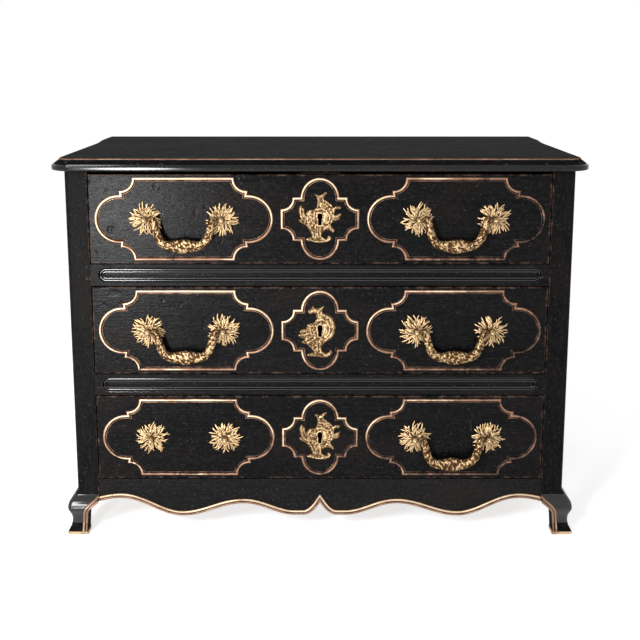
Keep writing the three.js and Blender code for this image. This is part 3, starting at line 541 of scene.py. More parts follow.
def oak(name, scale):
    material, sockets, where = finish_of(name, Specular_IOR_Level=0.3)
    along_board = stretched(where, scale)
    rings = noise(along_board, 1, 6, 0.6)
    pores = noise(stretched(along_board, (1, 6, 6)), 3, 3, 0.7)
    colour = blend(spread(rings, 0.3, 0.7), OAK_DARK, OAK_PALE)
    colour = blend(spread(pores, 0.58, 0.7), colour, OAK_PORE)
    handled = spread(noise(where, 3, 3), 0.4, 0.65) * 0.35
    colour = blend(handled, colour, OAK_HANDLED)
    dress(sockets, colour, rings * 0.2 + 0.6, rings - pores, 0.3, 0.0008)
    return material


def dark_iron():
    material, sockets, where = finish_of("dark_iron", Metallic=1.0)
    cloud = noise(where, 90, 5, 0.65)
    colour = blend(spread(cloud, 0.4, 0.65), IRON, RUST)
    dress(sockets, colour, cloud * 0.4 + 0.35, cloud, 0.3, 0.0006)
    return material


oak_across = oak("bare_oak_across", (4, 60, 90))
oak_back = oak("bare_oak_lengthways", (90, 4, 60))
iron = dark_iron()
CARRIED = {
    "stile": black_plain, "side_board": black_plain, "back_board": oak_across,
    "runner": oak_back, "left_side": oak_back, "right_side": oak_back, "back": oak_across,
    "bottom": oak_across, "lock": iron, "bolt": iron,
}
for label, carried in nodes.items():
    ending = next((word for word in CARRIED if word in label), None)
    if ending:
        carried.data.materials.clear()
        carried.data.materials.append(CARRIED[ending])
print("CAD nodes with a finish", sum(any(word in label for word in CARRIED) for label in nodes))

# %% [markdown]
# ## The top
# The top is one board with a moulded edge: a rubbed arris, a slope hollowed a little, a fillet
# and a nose with a narrow flat. The front corners are rounded, and the sides swell out near the
# back. One section, taken round the plan of the board, makes all of it, so the piece is a skin
# over rings.

# %% The top's plan and section
TOP_HEIGHT, TOP_HALF, TOP_DEPTH = 862.0, 586.0, 608.0
TOP_CORNER, TOP_FLARE = 50.0, 9.9
FLARE_START, FLARE_END = 386.0, 528.0
NOSE_DROP, NOSE_FOOT = 12.6, 26.0  # the waxed part of the edge, down from the top's face
SLOPE_TOP, SLOPE_FOOT, SAG = (15.8, 4.6), (5.2, 12.4), 0.9  # inset and drop, and its hollow
HOLLOW = []
for t in [i / 6 for i in range(7)]:
    inset, drop = [a + (b - a) * t for a, b in zip(SLOPE_TOP, SLOPE_FOOT)]
    sag = SAG * math.sin(math.pi * t)
    HOLLOW.append((inset + sag, drop - sag, 0.0))
TOP_SECTION = [  # inset from the widest line, drop, wear
    (70, 0, 0.0), (34, 0, 0.0), (23, 0, 0.05), (19.8, 0.1, 0.2), (18.3, 0.6, 0.5), (17.4, 1.5, 0.73),
    (16.7, 2.7, 0.52), (16.2, 4.0, 0.1), *HOLLOW, (4.7, 12.7, 0.1), (4.4, 13.8, 0.0),
    (2.4, 14.1, 0.0), (1.2, 14.6, 0.05), (0.5, 15.4, 0.1), (0.12, 16.5, 0.1), (0.0, 17.4, 0.1),
    (0.0, 19.2, 0.1), (0.0, 23.6, 0.1), (0.1, 24.0, 0.1), (0.7, 25.0, 0.1), (1.9, 25.9, 0.05),
    (3.8, 26.3, 0.0), (6.0, 26.4, 0.0), (23.5, 26.5, 0.0), (25.3, 27.0, 0.0), (25.3, 30, 0.0),
]


def top_plan(inset):
    half, radius = TOP_HALF - inset, max(TOP_CORNER - inset, 1.0)
    right = arc(half - radius, inset + radius, radius, radius, -QUARTER, 0, 14)
    for i in range(17):
        t = i / 16
        right.append((half + TOP_FLARE * ease(t), FLARE_START + (FLARE_END - FLARE_START) * t))
    right.append((half + TOP_FLARE, TOP_DEPTH))
    return right + [(-x, y) for x, y in reversed(right)]


top = Shell()
rings = [[(x, y, TOP_HEIGHT - drop) for x, y in top_plan(inset)] for inset, drop, _ in TOP_SECTION]
count = len(rings[0])
top.loft(rings, lambda number: [TOP_SECTION[number][2]] * count)
nose_top, nose_foot = (TOP_HEIGHT - NOSE_DROP) * MM, (TOP_HEIGHT - NOSE_FOOT) * MM
piece = make("top_board_moulded", top, [black_moulded, black_matt], 40,
             bare=lambda face: not nose_foot < face.center.z < nose_top)
mortise(piece, "drawer_1_lock_bolt")
fit(piece, "case", "ebonised_wood", "top_board")

# %% [markdown]
# ## Drawer fronts
# Each front is a board with eased edges, a hole for the key and a pocket behind for the lock. A
# board with cut-outs is easiest to build from blocks: the faces between a filled cell and an
# empty one are its skin.


# %% Boards from blocks
def blocks(lines, filled):
    """Points and faces of the skin between the filled and the empty cells of a grid."""
    known, faces = {}, []
    cells = [cell for cell in product(*[range(len(line) - 1) for line in lines])
             if filled(*[(line[n] + line[n + 1]) / 2 for line, n in zip(lines, cell)])]
    for cell in cells:
        for axis, step in product(range(3), (0, 1)):
            beside = list(cell)
            beside[axis] += 2 * step - 1
            if tuple(beside) in cells:
                continue
            u, v = [a for a in range(3) if a != axis]
            quad = []
            for du, dv in ((0, 0), (1, 0), (1, 1), (0, 1)):
                corner = list(cell)
                for a, shift in ((axis, step), (u, du), (v, dv)):
                    corner[a] += shift
                quad.append(known.setdefault(tuple(corner), len(known)))
            faces.append(tuple(quad))
    return [tuple(line[n] for line, n in zip(lines, corner)) for corner in known], faces


# %% A drawer's front
EASED, THICK, REVEAL, UPPER_GAP = 1.5, 25.0, 1.5, 1.3
RIM = 6.0  # the strip along the edges that the wear is kept to
KEY_HALF, KEY_REACH = 5.35, 13.0
POCKET_HALF, POCKET_DEPTH, POCKET_DROP = 45.3, 8.3, 28.3
EDGE_WEAR, LIT_EDGE_WEAR = 0.3, 0.15  # wear along the edges, and a painted highlight on the first drawer's upper edge that grows to the left


def front_board(shell, drawer):
    half = OPENING - REVEAL
    low, high, middle = drawer["bottom"], drawer["top"] - UPPER_GAP, drawer["middle"]
    back = FACE + THICK
    key_low, key_high = middle - KEY_REACH, middle + KEY_REACH
    pocket_low = key_low - POCKET_DROP
    xs = [-half, -half + RIM, -POCKET_HALF, -KEY_HALF, KEY_HALF, POCKET_HALF, half - RIM, half]
    ys = [FACE, FACE + EASED, back - POCKET_DEPTH, back]
    zs = [low, low + RIM, pocket_low, key_low, key_high, high - RIM, high]

    def solid(x, y, z):
        in_key = abs(x) < KEY_HALF and key_low < z < key_high
        in_pocket = y > back - POCKET_DEPTH and abs(x) < POCKET_HALF and z > pocket_low
        return not in_key and not in_pocket

    points, faces = blocks((xs, ys, zs), solid)
    shaped, wear = [], []
    for x, y, z in points:
        edge = abs(x) > half - 1 or z < low + 1 or z > high - 1
        if y == FACE:
            x = kept_in(x, EASED - half, half - EASED)
            z = kept_in(z, low + EASED, high - EASED)
        shaped.append((x, y, z))
        # Painted highlight along the first drawer's upper edge, brighter towards the left.
        lit_left = z > high - 2 and drawer is DRAWERS[0]
        rubbed = EDGE_WEAR + (LIT_EDGE_WEAR * max(0.0, -x / half) if lit_left else 0.0)
        wear.append(rubbed if edge and y < FACE + 2 else 0.0)
    shell.add(shaped, faces, wear)


# %% [markdown]
# ## Cartouches
# Every front carries two long cartouches and a small one in the middle, each drawn by a raised
# bead with a thinner one inside it, both gilt and rubbed. The outline is a quarter, worked out
# from arcs and flipped four ways, and the beads are one section taken round it with mitres.

# %% Cartouche outlines and the bead round them
BEAD = [  # across to the inside, out of the face, gilding
    (-4.4, -1, 0.0), (-4.1, 0.3, 0.1), (-3.4, 1.2, 0.42), (-2.5, 2.3, 0.7), (-1.3, 3.1, 0.84),
    (0.0, 3.2, 0.84), (1.1, 2.7, 0.72), (2.0, 1.7, 0.5), (2.7, 0.6, 0.25), (3.3, 0.3, 0.0),
    (3.8, 0.9, 0.4), (4.6, 1.2, 0.62), (5.4, 0.9, 0.4), (5.9, 0.2, 0.0), (6.1, -1, 0.0),
]
LONG_HALF, CORNER_INSET, CORNER_RADIUS, LOBE = 191.15, 55.0, 29.0, 50.0
SIDE_MARGIN, LONG_MARGIN, CENTRE_MARGIN = 17.0, 11.0, 11.8
CENTRE_HALF, SHOULDER, SIDE_HALF, CENTRE_LOBE = 82.7, 45.0, 19.0, 39.2
LONG_AT = OPENING - SIDE_MARGIN - LONG_HALF
# Shares of the gilding: what is kept, a painted highlight on the sides that face up and left,
# painted shade across to the right, and a little more with height. The last share is painted shade
# at the far right, the more the higher above LOW.
KEPT, LIT_FACING, SHADE_ACROSS, UPWARDS, SHADE_FAR_RIGHT = 0.9, 0.13, 0.13, 0.0002, 0.62
LOW, MIDDLE_HEIGHT, HIGH = 130, 480, 600


def long_cartouche(half_height):
    lobe = arc(LONG_HALF - LOBE, 0, LOBE, LOBE, 0, QUARTER, 18)
    at, radius = LONG_HALF - CORNER_INSET, CORNER_RADIUS
    corner = arc(at, half_height, radius, radius, -QUARTER, -2 * QUARTER, 12)
    return fourfold(lobe + [(at - 2, LOBE)] + corner)


def central_cartouche(half_height):
    radius = SHOULDER - SIDE_HALF
    corner = arc(CENTRE_HALF, SHOULDER, radius, radius, -QUARTER, -2 * QUARTER, 12)
    lobe = arc(0, SHOULDER, CENTRE_LOBE, half_height - SHOULDER, 0, QUARTER, 18)
    return fourfold(corner + lobe)


def bead_round(shell, outline, x, z):
    """Gilding on a bead: the kept share, plus a painted highlight on the sides that face up and left
    and on the cartouches to the left, and painted shade that takes nearly all of it at the far right
    of the upper drawers. It also grows a little with height."""
    path = [(px + x, pz + z) for px, pz in outline]

    def gilding(number):
        way = heading(path, number)
        # Painted light: more gold on sides facing up and left and on the left cartouches, painted
        # shade at the far right.
        lit_facing = -0.4 * way.y - 0.9 * way.x
        shaded_far = max(0.0, path[number][0] / OPENING - 0.5) * (z - LOW) / HIGH
        share = KEPT + LIT_FACING * lit_facing - SHADE_ACROSS * x / OPENING + UPWARDS * (z - MIDDLE_HEIGHT)
        share -= SHADE_FAR_RIGHT * shaded_far
        return [share * gilt for gilt in wear_in(BEAD)]

    shell.loft(moulding(path, BEAD, True), gilding, True)


BARE_DEPTH = 9.0  # how far in from a front's rear its faces are bare oak
behind = place(0, FACE + THICK - BARE_DEPTH, 0)[1]
for number, drawer in enumerate(DRAWERS, 1):
    front = Shell()
    front_board(front, drawer)
    half_height = (drawer["top"] - drawer["bottom"]) / 2
    for side in (-1, 1):
        outline = long_cartouche(half_height - LONG_MARGIN)
        bead_round(front, outline, side * LONG_AT, drawer["middle"])
    bead_round(front, central_cartouche(half_height - CENTRE_MARGIN), 0, drawer["middle"])
    piece = make(f"drawer_{number}_front_carved", front, [black_carved, oak_across], 30,
                 bare=lambda face: face.normal.y > 0.5 and face.center.y > behind)
    fit(piece, f"drawer_{number}", "ebonised_wood", f"drawer_{number}_front")

# %% [markdown]
# ## The apron
# Below the last drawer hangs a scalloped apron. Its lower edge swings between lobes and arches
# to a point in the middle, and a double bead follows it. The curve is worked out from the
# heights of its turns, and the section rides along it.

# %% The apron and its bead
APRON_TOP, APRON_THICK = 127.5, 24.0
NOTCH_SHARE, NOTCH_WIDTH_SHARE, END_SHARE = 0.55, 0.075, 0.575
TURN_SHARES = [(0.115, 0.314), (0.3465, 0.533), (0.622, 0.298), (0.901, 0.635)]
SIDE_PLAY = 0.3  # between the apron or a foot's bead and the wood beside it
APRON_BEAD = [  # across from the edge, out of the face, gilding
    (0.0, -1.0, 0.2), (0.1, 1.2, 0.5), (1.2, 2.6, 0.66), (3.0, 3.1, 0.72), (4.8, 2.7, 0.5),
    (5.8, 2.1, 0.15), (6.6, 2.6, 0.4), (7.6, 4.0, 0.82), (9.4, 4.5, 0.92), (11.0, 3.7, 0.84),
    (11.9, 2.0, 0.4), (12.5, 0.4, 0.05), (12.8, 0.0, 0.0), (16.0, 0.0, 0.0),
]


def apron_curve(end):
    turns = [(x * OPENING, z * APRON_TOP) for x, z in TURN_SHARES]
    lobe_height, notch = turns[0][1], NOTCH_WIDTH_SHARE * OPENING
    curve = []
    for i in range(21):
        t = 1 - i / 20
        rise = (APRON_TOP * NOTCH_SHARE - lobe_height) * t * t
        curve.append((notch * (1 - t), lobe_height + rise))
    for (x, z), (next_x, next_z) in zip(turns, turns[1:]):
        for i in range(26):
            t = i / 26
            curve.append((x + (next_x - x) * t, z + (next_z - z) * ease(t)))
    at, height = turns[-1]
    for i in range(13):
        t = i / 12
        drop = (height - APRON_TOP * END_SHARE) * (1 - math.cos(QUARTER * t))
        curve.append((at + (end - at) * t, height - drop))
    return [(-x, z) for x, z in reversed(curve[1:])] + curve


half = OPENING - SIDE_PLAY
edge = apron_curve(half)
rings = moulding(edge, APRON_BEAD, False)
apron = Shell()
for ring, (x, z) in zip(rings, edge):
    ring[:] = [(kept_in(px, -half, half), py, pz) for px, py, pz in ring]
    ring += [(x, FACE, APRON_TOP), (x, FACE + APRON_THICK, APRON_TOP), (x, FACE + APRON_THICK, z)]
apron.loft(rings, wear_in(APRON_BEAD) + [0.0, 0.0, 0.05])
fit(make("apron_carved", apron, [black_apron], 40), "case", "ebonised_wood", "apron")

# %% [markdown]
# ## Front feet
# A front foot swells at the knee, draws in at the ankle and turns out to a gilt toe. Its inner
# face curls back under the apron, and a gilt bead like the apron's runs on down its edge. The
# foot is a skin over level rings whose size comes from short tables, for the swell in front, the
# swell at the side and the reach inwards.

# %% The shape of a foot
FOOT_HEIGHT, FOOT_FLARE, FOOT_CORNER = 89.7, 20.0, 10.0
STILE_WIDTH = 50.0
CASE_HALF, FOOT_REACH = OPENING + STILE_WIDTH, STILE_WIDTH - SIDE_PLAY
FRONT_FLARE = [  # height as a share, how far the front stands out as a share of the flare
    (0, 0.86), (0.03, 0.96), (0.06, 1), (0.09, 0.97), (0.16, 0.8), (0.26, 0.67), (0.38, 0.62),
    (0.5, 0.7), (0.6, 0.88), (0.66, 0.98), (0.71, 1), (0.77, 0.9), (0.83, 0.745), (0.88, 0.59),
    (0.93, 0.34), (0.97, 0.13), (1, 0.04),
]
SIDE_FLARE = FRONT_FLARE[:10] + [(0.75, 1), (0.84, 0.9), (0.92, 0.66), (1, 0.36)]
REACH_TABLE = [
    (0, 0.49), (0.1, 0.49), (0.25, 0.5), (0.43, 0.52), (0.55, 0.55), (0.62, 0.585), (0.68, 0.65),
    (0.76, 0.81), (0.84, 1), (1, 1),
]
CORNER_TABLE = [(0, 0.7), (0.1, 0.75), (0.7, 1), (1, 1)]
FOOT_LEVELS = sorted({i / 60 for i in range(61)} | {0.008, 0.092, 0.1, 0.108})
TOE_TOP, TOE_ROLL, TOE_WEAR, HEEL_SHARE = 0.1, 1.5, 0.76, 0.32
SHOULDER_FROM, SHOULDER_WEAR, CREASE = 0.985, 0.3, 0.004
BAND_TOP, DULL_BELOW = 0.84, 0.3
BAND = [  # across from the inner edge, out of the face, gilding
    (0.3, -2, 0.2), (0.5, 1.2, 0.5), (1.9, 2.5, 0.68), (3.8, 2.6, 0.66), (5.2, 1.6, 0.2),
    (6.1, 1.5, 0.15), (7.4, 2.9, 0.7), (9.4, 3.2, 0.8), (11.1, 2.2, 0.68), (12.0, 0.6, 0.2),
    (12.4, -2, 0.0),
]


# %% A foot, ring by ring
def toe_roll(share):
    """The gilt roll round the toe stands out from the foot."""
    return TOE_ROLL * math.sqrt(max(0.0, 1 - ((share - TOE_TOP / 2) / (TOE_TOP / 2)) ** 2))


def foot_place(share):
    share = kept_in(share)
    out_x = CASE_HALF + FOOT_FLARE * between(SIDE_FLARE, share) + toe_roll(share)
    out_y = FACE - FOOT_FLARE * between(FRONT_FLARE, share) - toe_roll(share)
    reach = FOOT_REACH * min(1, between(REACH_TABLE, share))
    return out_x, out_y, CASE_HALF - reach - toe_roll(share), FACE + reach


def foot_ring(share):
    out_x, out_y, in_x, in_y = foot_place(share)
    r = FOOT_CORNER * between(CORNER_TABLE, share)
    back = HEEL_SHARE * (in_y - out_y)
    plan = [(x, out_y + y) for x, y in arc(out_x - r, r, r, r, -QUARTER, 0, 8)]
    plan += [(out_x, in_y - 2), (out_x - 2, in_y)]
    plan += arc(in_x + back, in_y - back, back, back, QUARTER, 2 * QUARTER, 6)
    return plan + [(in_x, out_y + 1.5), (in_x + 0.5, out_y + 0.5), (in_x + 1.5, out_y)]


def foot_wear(share):
    if share < TOE_TOP - CREASE:
        return TOE_WEAR
    return SHOULDER_WEAR if share > SHOULDER_FROM else 0.0


def band_rings(side):
    """The double gilt bead from the apron's end down the inner edge to the toe."""
    shares = [TOE_TOP + (BAND_TOP - TOE_TOP) * i / 44 for i in range(45)]
    path = [Vector((foot_place(share)[2], FOOT_HEIGHT * share)) for share in shares]
    last = (path[-1] - path[-4]).normalized()
    path += [path[-1] + last * step for step in (3, 6, 9, 12)]
    rings = []
    for i, spot in enumerate(path):
        way = (path[min(i + 1, len(path) - 1)] - path[max(i - 1, 0)]).normalized()
        ring = []
        for u, v, _ in BAND:
            x = max(OPENING + SIDE_PLAY, spot.x + way.y * u)
            z = min(FOOT_HEIGHT - 0.2, spot.y - way.x * u)
            ring.append((side * x, foot_place(z / FOOT_HEIGHT)[1] - v, z))
        rings.append(ring)
    return rings


# %% Both feet
for side, word in SIDES.items():
    foot = Shell()
    rings = [
        [(side * x, y, FOOT_HEIGHT * share) for x, y in foot_ring(share)] for share in FOOT_LEVELS
    ]
    per_ring = len(rings[0])
    foot.loft(rings, lambda n: [foot_wear(FOOT_LEVELS[n])] * per_ring)
    foot.loft(band_rings(side), wear_in(BAND))
    piece = make(f"front_{word}_foot_carved", foot, [black_foot, black_matt], 40,
                 bare=lambda face: side * face.normal.x < -0.6 and face.normal.y > -0.5
                 or face.center.z < DULL_BELOW * FOOT_HEIGHT * MM)
    fit(piece, "case", "ebonised_wood", f"front_{word}_foot")

# %% [markdown]
# ## Rails
# A rail between two drawers has a long sunk panel with round ends. Inside it run two reeds, one
# within the other round a narrow flat, so the ends are concentric. Rings that follow the panel's
# outline, each further in and at its own depth, give the whole face in one skin. The reeds are
# waxed and shine, the frame and the flat in the middle are dull.

# %% Rails with a sunk panel
RAIL_DEPTH, PANEL_HALF_HEIGHT, PANEL_END = 34.0, 16.4, 17.0
FRAME, FLAT_HALF = 2.0, 4.6  # the ring outside the panel, and half the dull flat's height
FRAME_WEAR, HAIR = 0.12, 0.02
TO_THE_END, TO_THE_EDGE = 0.9, 0.55  # where that ring's points go to the rail's end or its edge
PANEL = [  # in from the panel's outline, depth below the face, wear
    (-2.0, 0.0, 0.0), (-0.7, 0.0, 0.0), (0.0, 0.3, 0.1), (0.4, 1.4, 0.05), (0.7, 4.0, 0.0),
    (1.2, 4.6, 0.0), (1.6, 4.1, 0.0), (2.1, 2.4, 0.0), (2.8, 1.5, 0.03), (3.4, 1.3, 0.05),
    (5.0, 1.3, 0.05), (5.6, 1.6, 0.03), (6.2, 3.0, 0.0), (6.5, 4.4, 0.0), (6.9, 4.6, 0.0),
    (7.3, 3.3, 0.0), (7.8, 1.9, 0.0), (8.4, 1.4, 0.08), (10.0, 1.4, 0.1), (10.8, 2.0, 0.0),
    (11.5, 4.0, 0.0), (12.0, 4.7, 0.0), (13.6, 4.7, 0.0), (16.0, 4.5, 0.05),
]


def round_ended(half, radius, z):
    flat = half - radius
    right = arc(flat, z, radius, radius, -QUARTER, QUARTER, 12)
    return right + arc(-flat, z, radius, radius, QUARTER, 3 * QUARTER, 12)


def rail_piece(name, bolt):
    low, high = bench(name)
    z0, z1, middle = low[2], high[2], (low[2] + high[2]) / 2
    panel_half, reach = OPENING - PANEL_END, PANEL_HALF_HEIGHT + FRAME
    frame_ring = []
    for x, z in round_ended(panel_half + FRAME, reach, middle):
        lift = (z - middle) / reach
        across = math.copysign(high[0], x) if abs(lift) < TO_THE_END else x
        level = middle + lift / TO_THE_EDGE * (z1 - middle)
        frame_ring.append((across, kept_in(level, z0, z1)))
    rings = [[(x, FACE + depth, z) for x, z in frame_ring] for depth in (RAIL_DEPTH, 0)]
    for inset, depth, _ in PANEL:
        outline = round_ended(panel_half - inset, PANEL_HALF_HEIGHT - inset, middle)
        rings.append([(x, FACE + depth, z) for x, z in outline])
    wear = [0.0, FRAME_WEAR] + wear_in(PANEL)
    shell = Shell()
    shell.loft(rings, lambda n: [wear[n]] * len(frame_ring))
    _, just_behind, height = place(0, FACE + HAIR, middle)
    piece = make(f"{name}_reeded", shell, [black_railed, black_across], 30,
                 bare=lambda face: (face.center.y < just_behind
                                    or abs(face.center.z - height) < FLAT_HALF * MM))
    mortise(piece, bolt, 30)
    fit(piece, "case", "ebonised_wood", name)


rail_piece("upper_rail", "drawer_2_lock_bolt")
rail_piece("lower_rail", "drawer_3_lock_bolt")

# %% [markdown]
# ## Front stiles
# The stiles are plain posts with a rounded outer corner. Hands and brooms have rubbed that
# corner and the edge beside the drawers down to the red ground.

# %% Front stiles
STILE_CORNER, STILE_SWELL, STILE_EDGE = 9.0, 13.0, 0.8
STILE_WEAR = [0, 0.2, 0.28, 0, 0, 0, 0.06, 0.14, 0.2, 0.24, 0.2, 0.14, 0.06, 0, 0, 0]


def stile_ring(z, side):
    r = STILE_CORNER
    above = kept_in((z - FOOT_HEIGHT) / STILE_SWELL)
    swell = FOOT_FLARE * SIDE_FLARE[-1][1] * (1 - math.sin(QUARTER * above))
    out_x, in_x, back = CASE_HALF + swell, CASE_HALF - STILE_WIDTH, FACE + STILE_WIDTH
    plan = [(in_x, back), (in_x, FACE + STILE_EDGE), (in_x + STILE_EDGE, FACE)]
    plan += [(in_x + 6, FACE), (out_x - r - 5, FACE)]
    plan += arc(out_x - r, FACE + r, r, r, -QUARTER, 0, 8)
    return [(side * x, y, z) for x, y in plan + [(out_x, FACE + r + 6), (out_x, back)]]


for side, word in SIDES.items():
    name = f"front_{word}_stile"
    low, high = bench(name)
    stile = Shell()
    levels = [low[2] + rise for rise in range(0, 16, 2)]
    levels += [low[2] + (high[2] - low[2]) * i / 24 for i in range(1, 25)]
    stile.loft([stile_ring(z, side) for z in levels], STILE_WEAR)
    fit(make(f"{name}_rubbed", stile, [black_upright], 40), "case", "ebonised_wood", name)

# %% [markdown]
# ## Rosettes
# A rosette is a burst of cast strands, like a loose knot of hair, in three layers. The strands
# repeat with small changes, which is what Geometry Nodes do well: each rosette's middle is
# copied once for each strand, and a strand is placed on every copy with its own turn, length and
# lift. Three strand shapes are picked at random, with a fixed seed.


# %% Three strand shapes
def round_turn(count):
    return [2 * math.pi * k / count for k in range(count)]


def small_mesh(name, shell, degrees):
    """A mesh about its own middle, from a shell in mm."""
    return skin(name, [(x * MM, y * MM, z * MM) for x, y, z in shell.points], shell, degrees)


STRAND_STEPS = [0, 0.12, 0.3, 0.48, 0.64, 0.78, 0.88, 0.95, 1.0]
STRAND_SIDES, TIP_FROM, TIP_SIZE = 8, 0.8, 0.07  # where the tip begins to round off, and to what


def strand(name, curl):
    """A round-tipped finger along +z from 0 to 1 mm, bent sideways by curl, 1 mm thick. It
    shines on the side that faces the front, and more towards the tip."""
    rings = []
    for t in STRAND_STEPS:
        size = 0.5 * (0.72 + 0.42 * math.sin(2.4 * t)) * (1 - max(0, (t - TIP_FROM) / 0.2) ** 4)
        size = max(size, TIP_SIZE)
        bend, lift = curl * t ** 2, math.sin(math.pi * min(1, t * 1.04)) * 0.5 - 0.25 * t
        rings.append([(bend + size * math.cos(a), -lift - size * math.sin(a), t)
                      for a in round_turn(STRAND_SIDES)])

    def shine(n):
        tip = 0.5 + 0.6 * STRAND_STEPS[n]
        return [0.04 + (max(0, math.sin(a) + 0.15) / 1.15) ** 1.7 * tip
                for a in round_turn(STRAND_SIDES)]

    finger = Shell()
    finger.loft(rings, shine)
    return bpy.data.objects.new(name, small_mesh(name, finger, 60))


SHAPES = {
    "Straight": strand("strand_straight", 0.8),
    "Curled": strand("strand_curled", 2.9),
    "Hooked": strand("strand_hooked", -2.3),
}
print("strand faces", len(SHAPES["Straight"].data.polygons))


# %% How every tree begins, draws a random number, and ends
def growing_tree(name, **labels):
    """A Geometry Nodes tree and what it takes. labels are the named inputs of each kind."""
    tree = bpy.data.node_groups.new(name, "GeometryNodeTree")
    for kind, group in {"Geometry": ["Geometry"], **labels, "Material": ["Material"]}.items():
        for label in group:
            tree.interface.new_socket(label, in_out="INPUT", socket_type=f"NodeSocket{kind}")
    tree.interface.new_socket("Geometry", in_out="OUTPUT", socket_type="NodeSocketGeometry")
    taken = tree.nodes.new("NodeGroupInput").outputs
    return tree, {socket.name: Value(socket) for socket in taken}


def draw(seed, low, high, whole=False):
    """A random number for every copy. The seed keeps one draw apart from the others. The node
    has its own sockets for each kind of number."""
    kind, first, output = ("INT", 4, 2) if whole else ("FLOAT", 2, 1)
    made = node(seed.tree, "FunctionNodeRandomValue", {"data_type": kind}, Seed=seed)
    made.inputs[first].default_value, made.inputs[first + 1].default_value = low, high
    return Value(made.outputs[output])


def grown(tree, placed, material):
    """The end of a tree: the instances become real and take the material."""
    whole = node(tree, "GeometryNodeRealizeInstances", Geometry=placed)
    finish = node(tree, "GeometryNodeSetMaterial", Geometry=whole, Material=material)
    node(tree, "NodeGroupOutput", Geometry=finish)
    print("tree", tree.name, len(tree.nodes), "nodes")
    return tree


# %% The tree that sets one layer of strands round each rosette's middle
COUNTS = ["Tufts", "Strands in a tuft"]
SIZES = ["Start", "Length", "Thickness", "Lift", "Slope", "Fan", "Turn"]
SWAY, TILT = 0.13, 0.05  # how far a strand may turn or lean away from its place, in radians
SHORTEST, THINNEST, THICKEST = 0.68, 0.78, 1.22  # shares of the layer's length and thickness
OUTER_LOSS = 0.1  # how much shorter a strand is for each place from the middle of its tuft


def strand_layer_tree():
    tree, get = growing_tree(
        "strand_layer", Object=list(SHAPES), Int=COUNTS + ["Seed"], Float=SIZES)
    each, seed = get["Strands in a tuft"], get["Seed"]
    copies = node(tree, "GeometryNodeDuplicateElements", {"domain": "POINT"},
                  Geometry=get["Geometry"], Amount=get["Tufts"] * each)
    index = Value(copies.outputs["Duplicate Index"])
    tuft = reckon("FLOOR", index / each)
    within = index - tuft * each - (each - 1.0) / 2.0
    angle = tuft * (2 * math.pi / get["Tufts"]) + get["Turn"]
    angle = angle + within * get["Fan"] + draw(seed + 11, -SWAY, SWAY)
    short = 1.0 - reckon("ABSOLUTE", within) * OUTER_LOSS
    length = get["Length"] * short * draw(seed + 23, SHORTEST, 1.0)
    thick = get["Thickness"] * draw(seed + 37, THINNEST, THICKEST)
    slope = get["Slope"] + draw(seed + 41, -TILT, TILT)
    out = node(tree, "ShaderNodeCombineXYZ", X=get["Start"] * reckon("SINE", angle),
               Y=get["Lift"] * -1.0, Z=get["Start"] * reckon("COSINE", angle))
    moved = node(tree, "GeometryNodeSetPosition", Geometry=copies, Offset=out)
    shapes = tree.nodes.new("GeometryNodeJoinGeometry")
    for label in SHAPES:
        info = node(tree, "GeometryNodeObjectInfo", As_Instance=True, Object=get[label])
        feed(shapes.inputs[0], Value(info.outputs["Geometry"]))
    placed = node(
        tree, "GeometryNodeInstanceOnPoints", Points=moved, Instance=shapes, Pick_Instance=True,
        Instance_Index=draw(seed, 0, 2, whole=True),
        Rotation=node(tree, "ShaderNodeCombineXYZ", X=slope, Y=angle),
        Scale=node(tree, "ShaderNodeCombineXYZ", X=thick, Y=thick, Z=length))
    return grown(tree, placed, get["Material"])


strand_layer = strand_layer_tree()


# %% Running a tree on a mesh of points, and several meshes as one piece
def run_tree(tree, points, settings):
    """The mesh that the tree makes on the given points."""
    mesh = bpy.data.meshes.new("points")
    mesh.from_pydata(points, [], [])
    carrier = in_scene("carrier", mesh)
    modifier = carrier.modifiers.new("nodes", "NODES")
    modifier.node_group = tree
    for item in tree.interface.items_tree:
        if item.in_out == "INPUT" and item.name in settings:
            modifier[item.identifier] = settings[item.name]
    ready = carrier.evaluated_get(bpy.context.evaluated_depsgraph_get())
    made = bpy.data.meshes.new_from_object(ready)
    bpy.data.objects.remove(carrier)
    return made


PLAIN_WEAR, CAST_ANGLE = 0.2, 50  # wear where a mesh has no numbers of its own


def joined_up(name, parts, material):
    """One piece from pairs of a mesh and its place, with their wear numbers."""
    shell = Shell()
    for mesh, offset in parts:
        worn_off = mesh.attributes.get("wear")
        shell.add([tuple(v.co + Vector(offset)) for v in mesh.vertices],
                  [tuple(face.vertices) for face in mesh.polygons],
                  [item.value for item in worn_off.data] if worn_off
                  else [PLAIN_WEAR] * len(mesh.vertices))
    mesh = skin(name, shell.points, shell, CAST_ANGLE)
    mesh.materials.append(material)
    return in_scene(name, mesh)


# %% [markdown]
# ## Posts
# A post grows from the middle of each rosette and carries the pin of a handle in a cross hole.
# A turned profile spun about its axis gives the post, and a Boolean takes the hole out. Then the
# strands and posts of a drawer are joined to one piece.

# %% The post and its hole
ROSETTE_HALF, PIN_OUT = 166.5 / 2, 20.0  # half a bail's span, and how far out its pins lie
BORE_RADIUS, BORE_LENGTH, POST_SIDES = 3.1, 24.0, 20
POST = [  # radius, out from the face, wear
    (9.0, 0.4, 0.1), (16.0, 0.5, 0.0), (15.0, 3.0, 0.1), (10.0, 5.2, 0.2), (6.0, 6.4, 0.2),
    (4.4, 8.0, 0.1), (4.0, 12.0, 0.1), (4.6, 13.6, 0.4), (5.6, 15.0, 0.6), (6.2, 17.2, 0.75),
    (6.2, 20.6, 0.8), (5.6, 22.8, 0.8), (4.2, 24.2, 0.6), (2.6, 24.6, 0.2), (2.3, 25.0, 0.3),
    (3.0, 25.6, 1.0), (2.6, 26.3, 1.0), (1.2, 26.7, 1.0), (0.05, 26.8, 1.0),
]


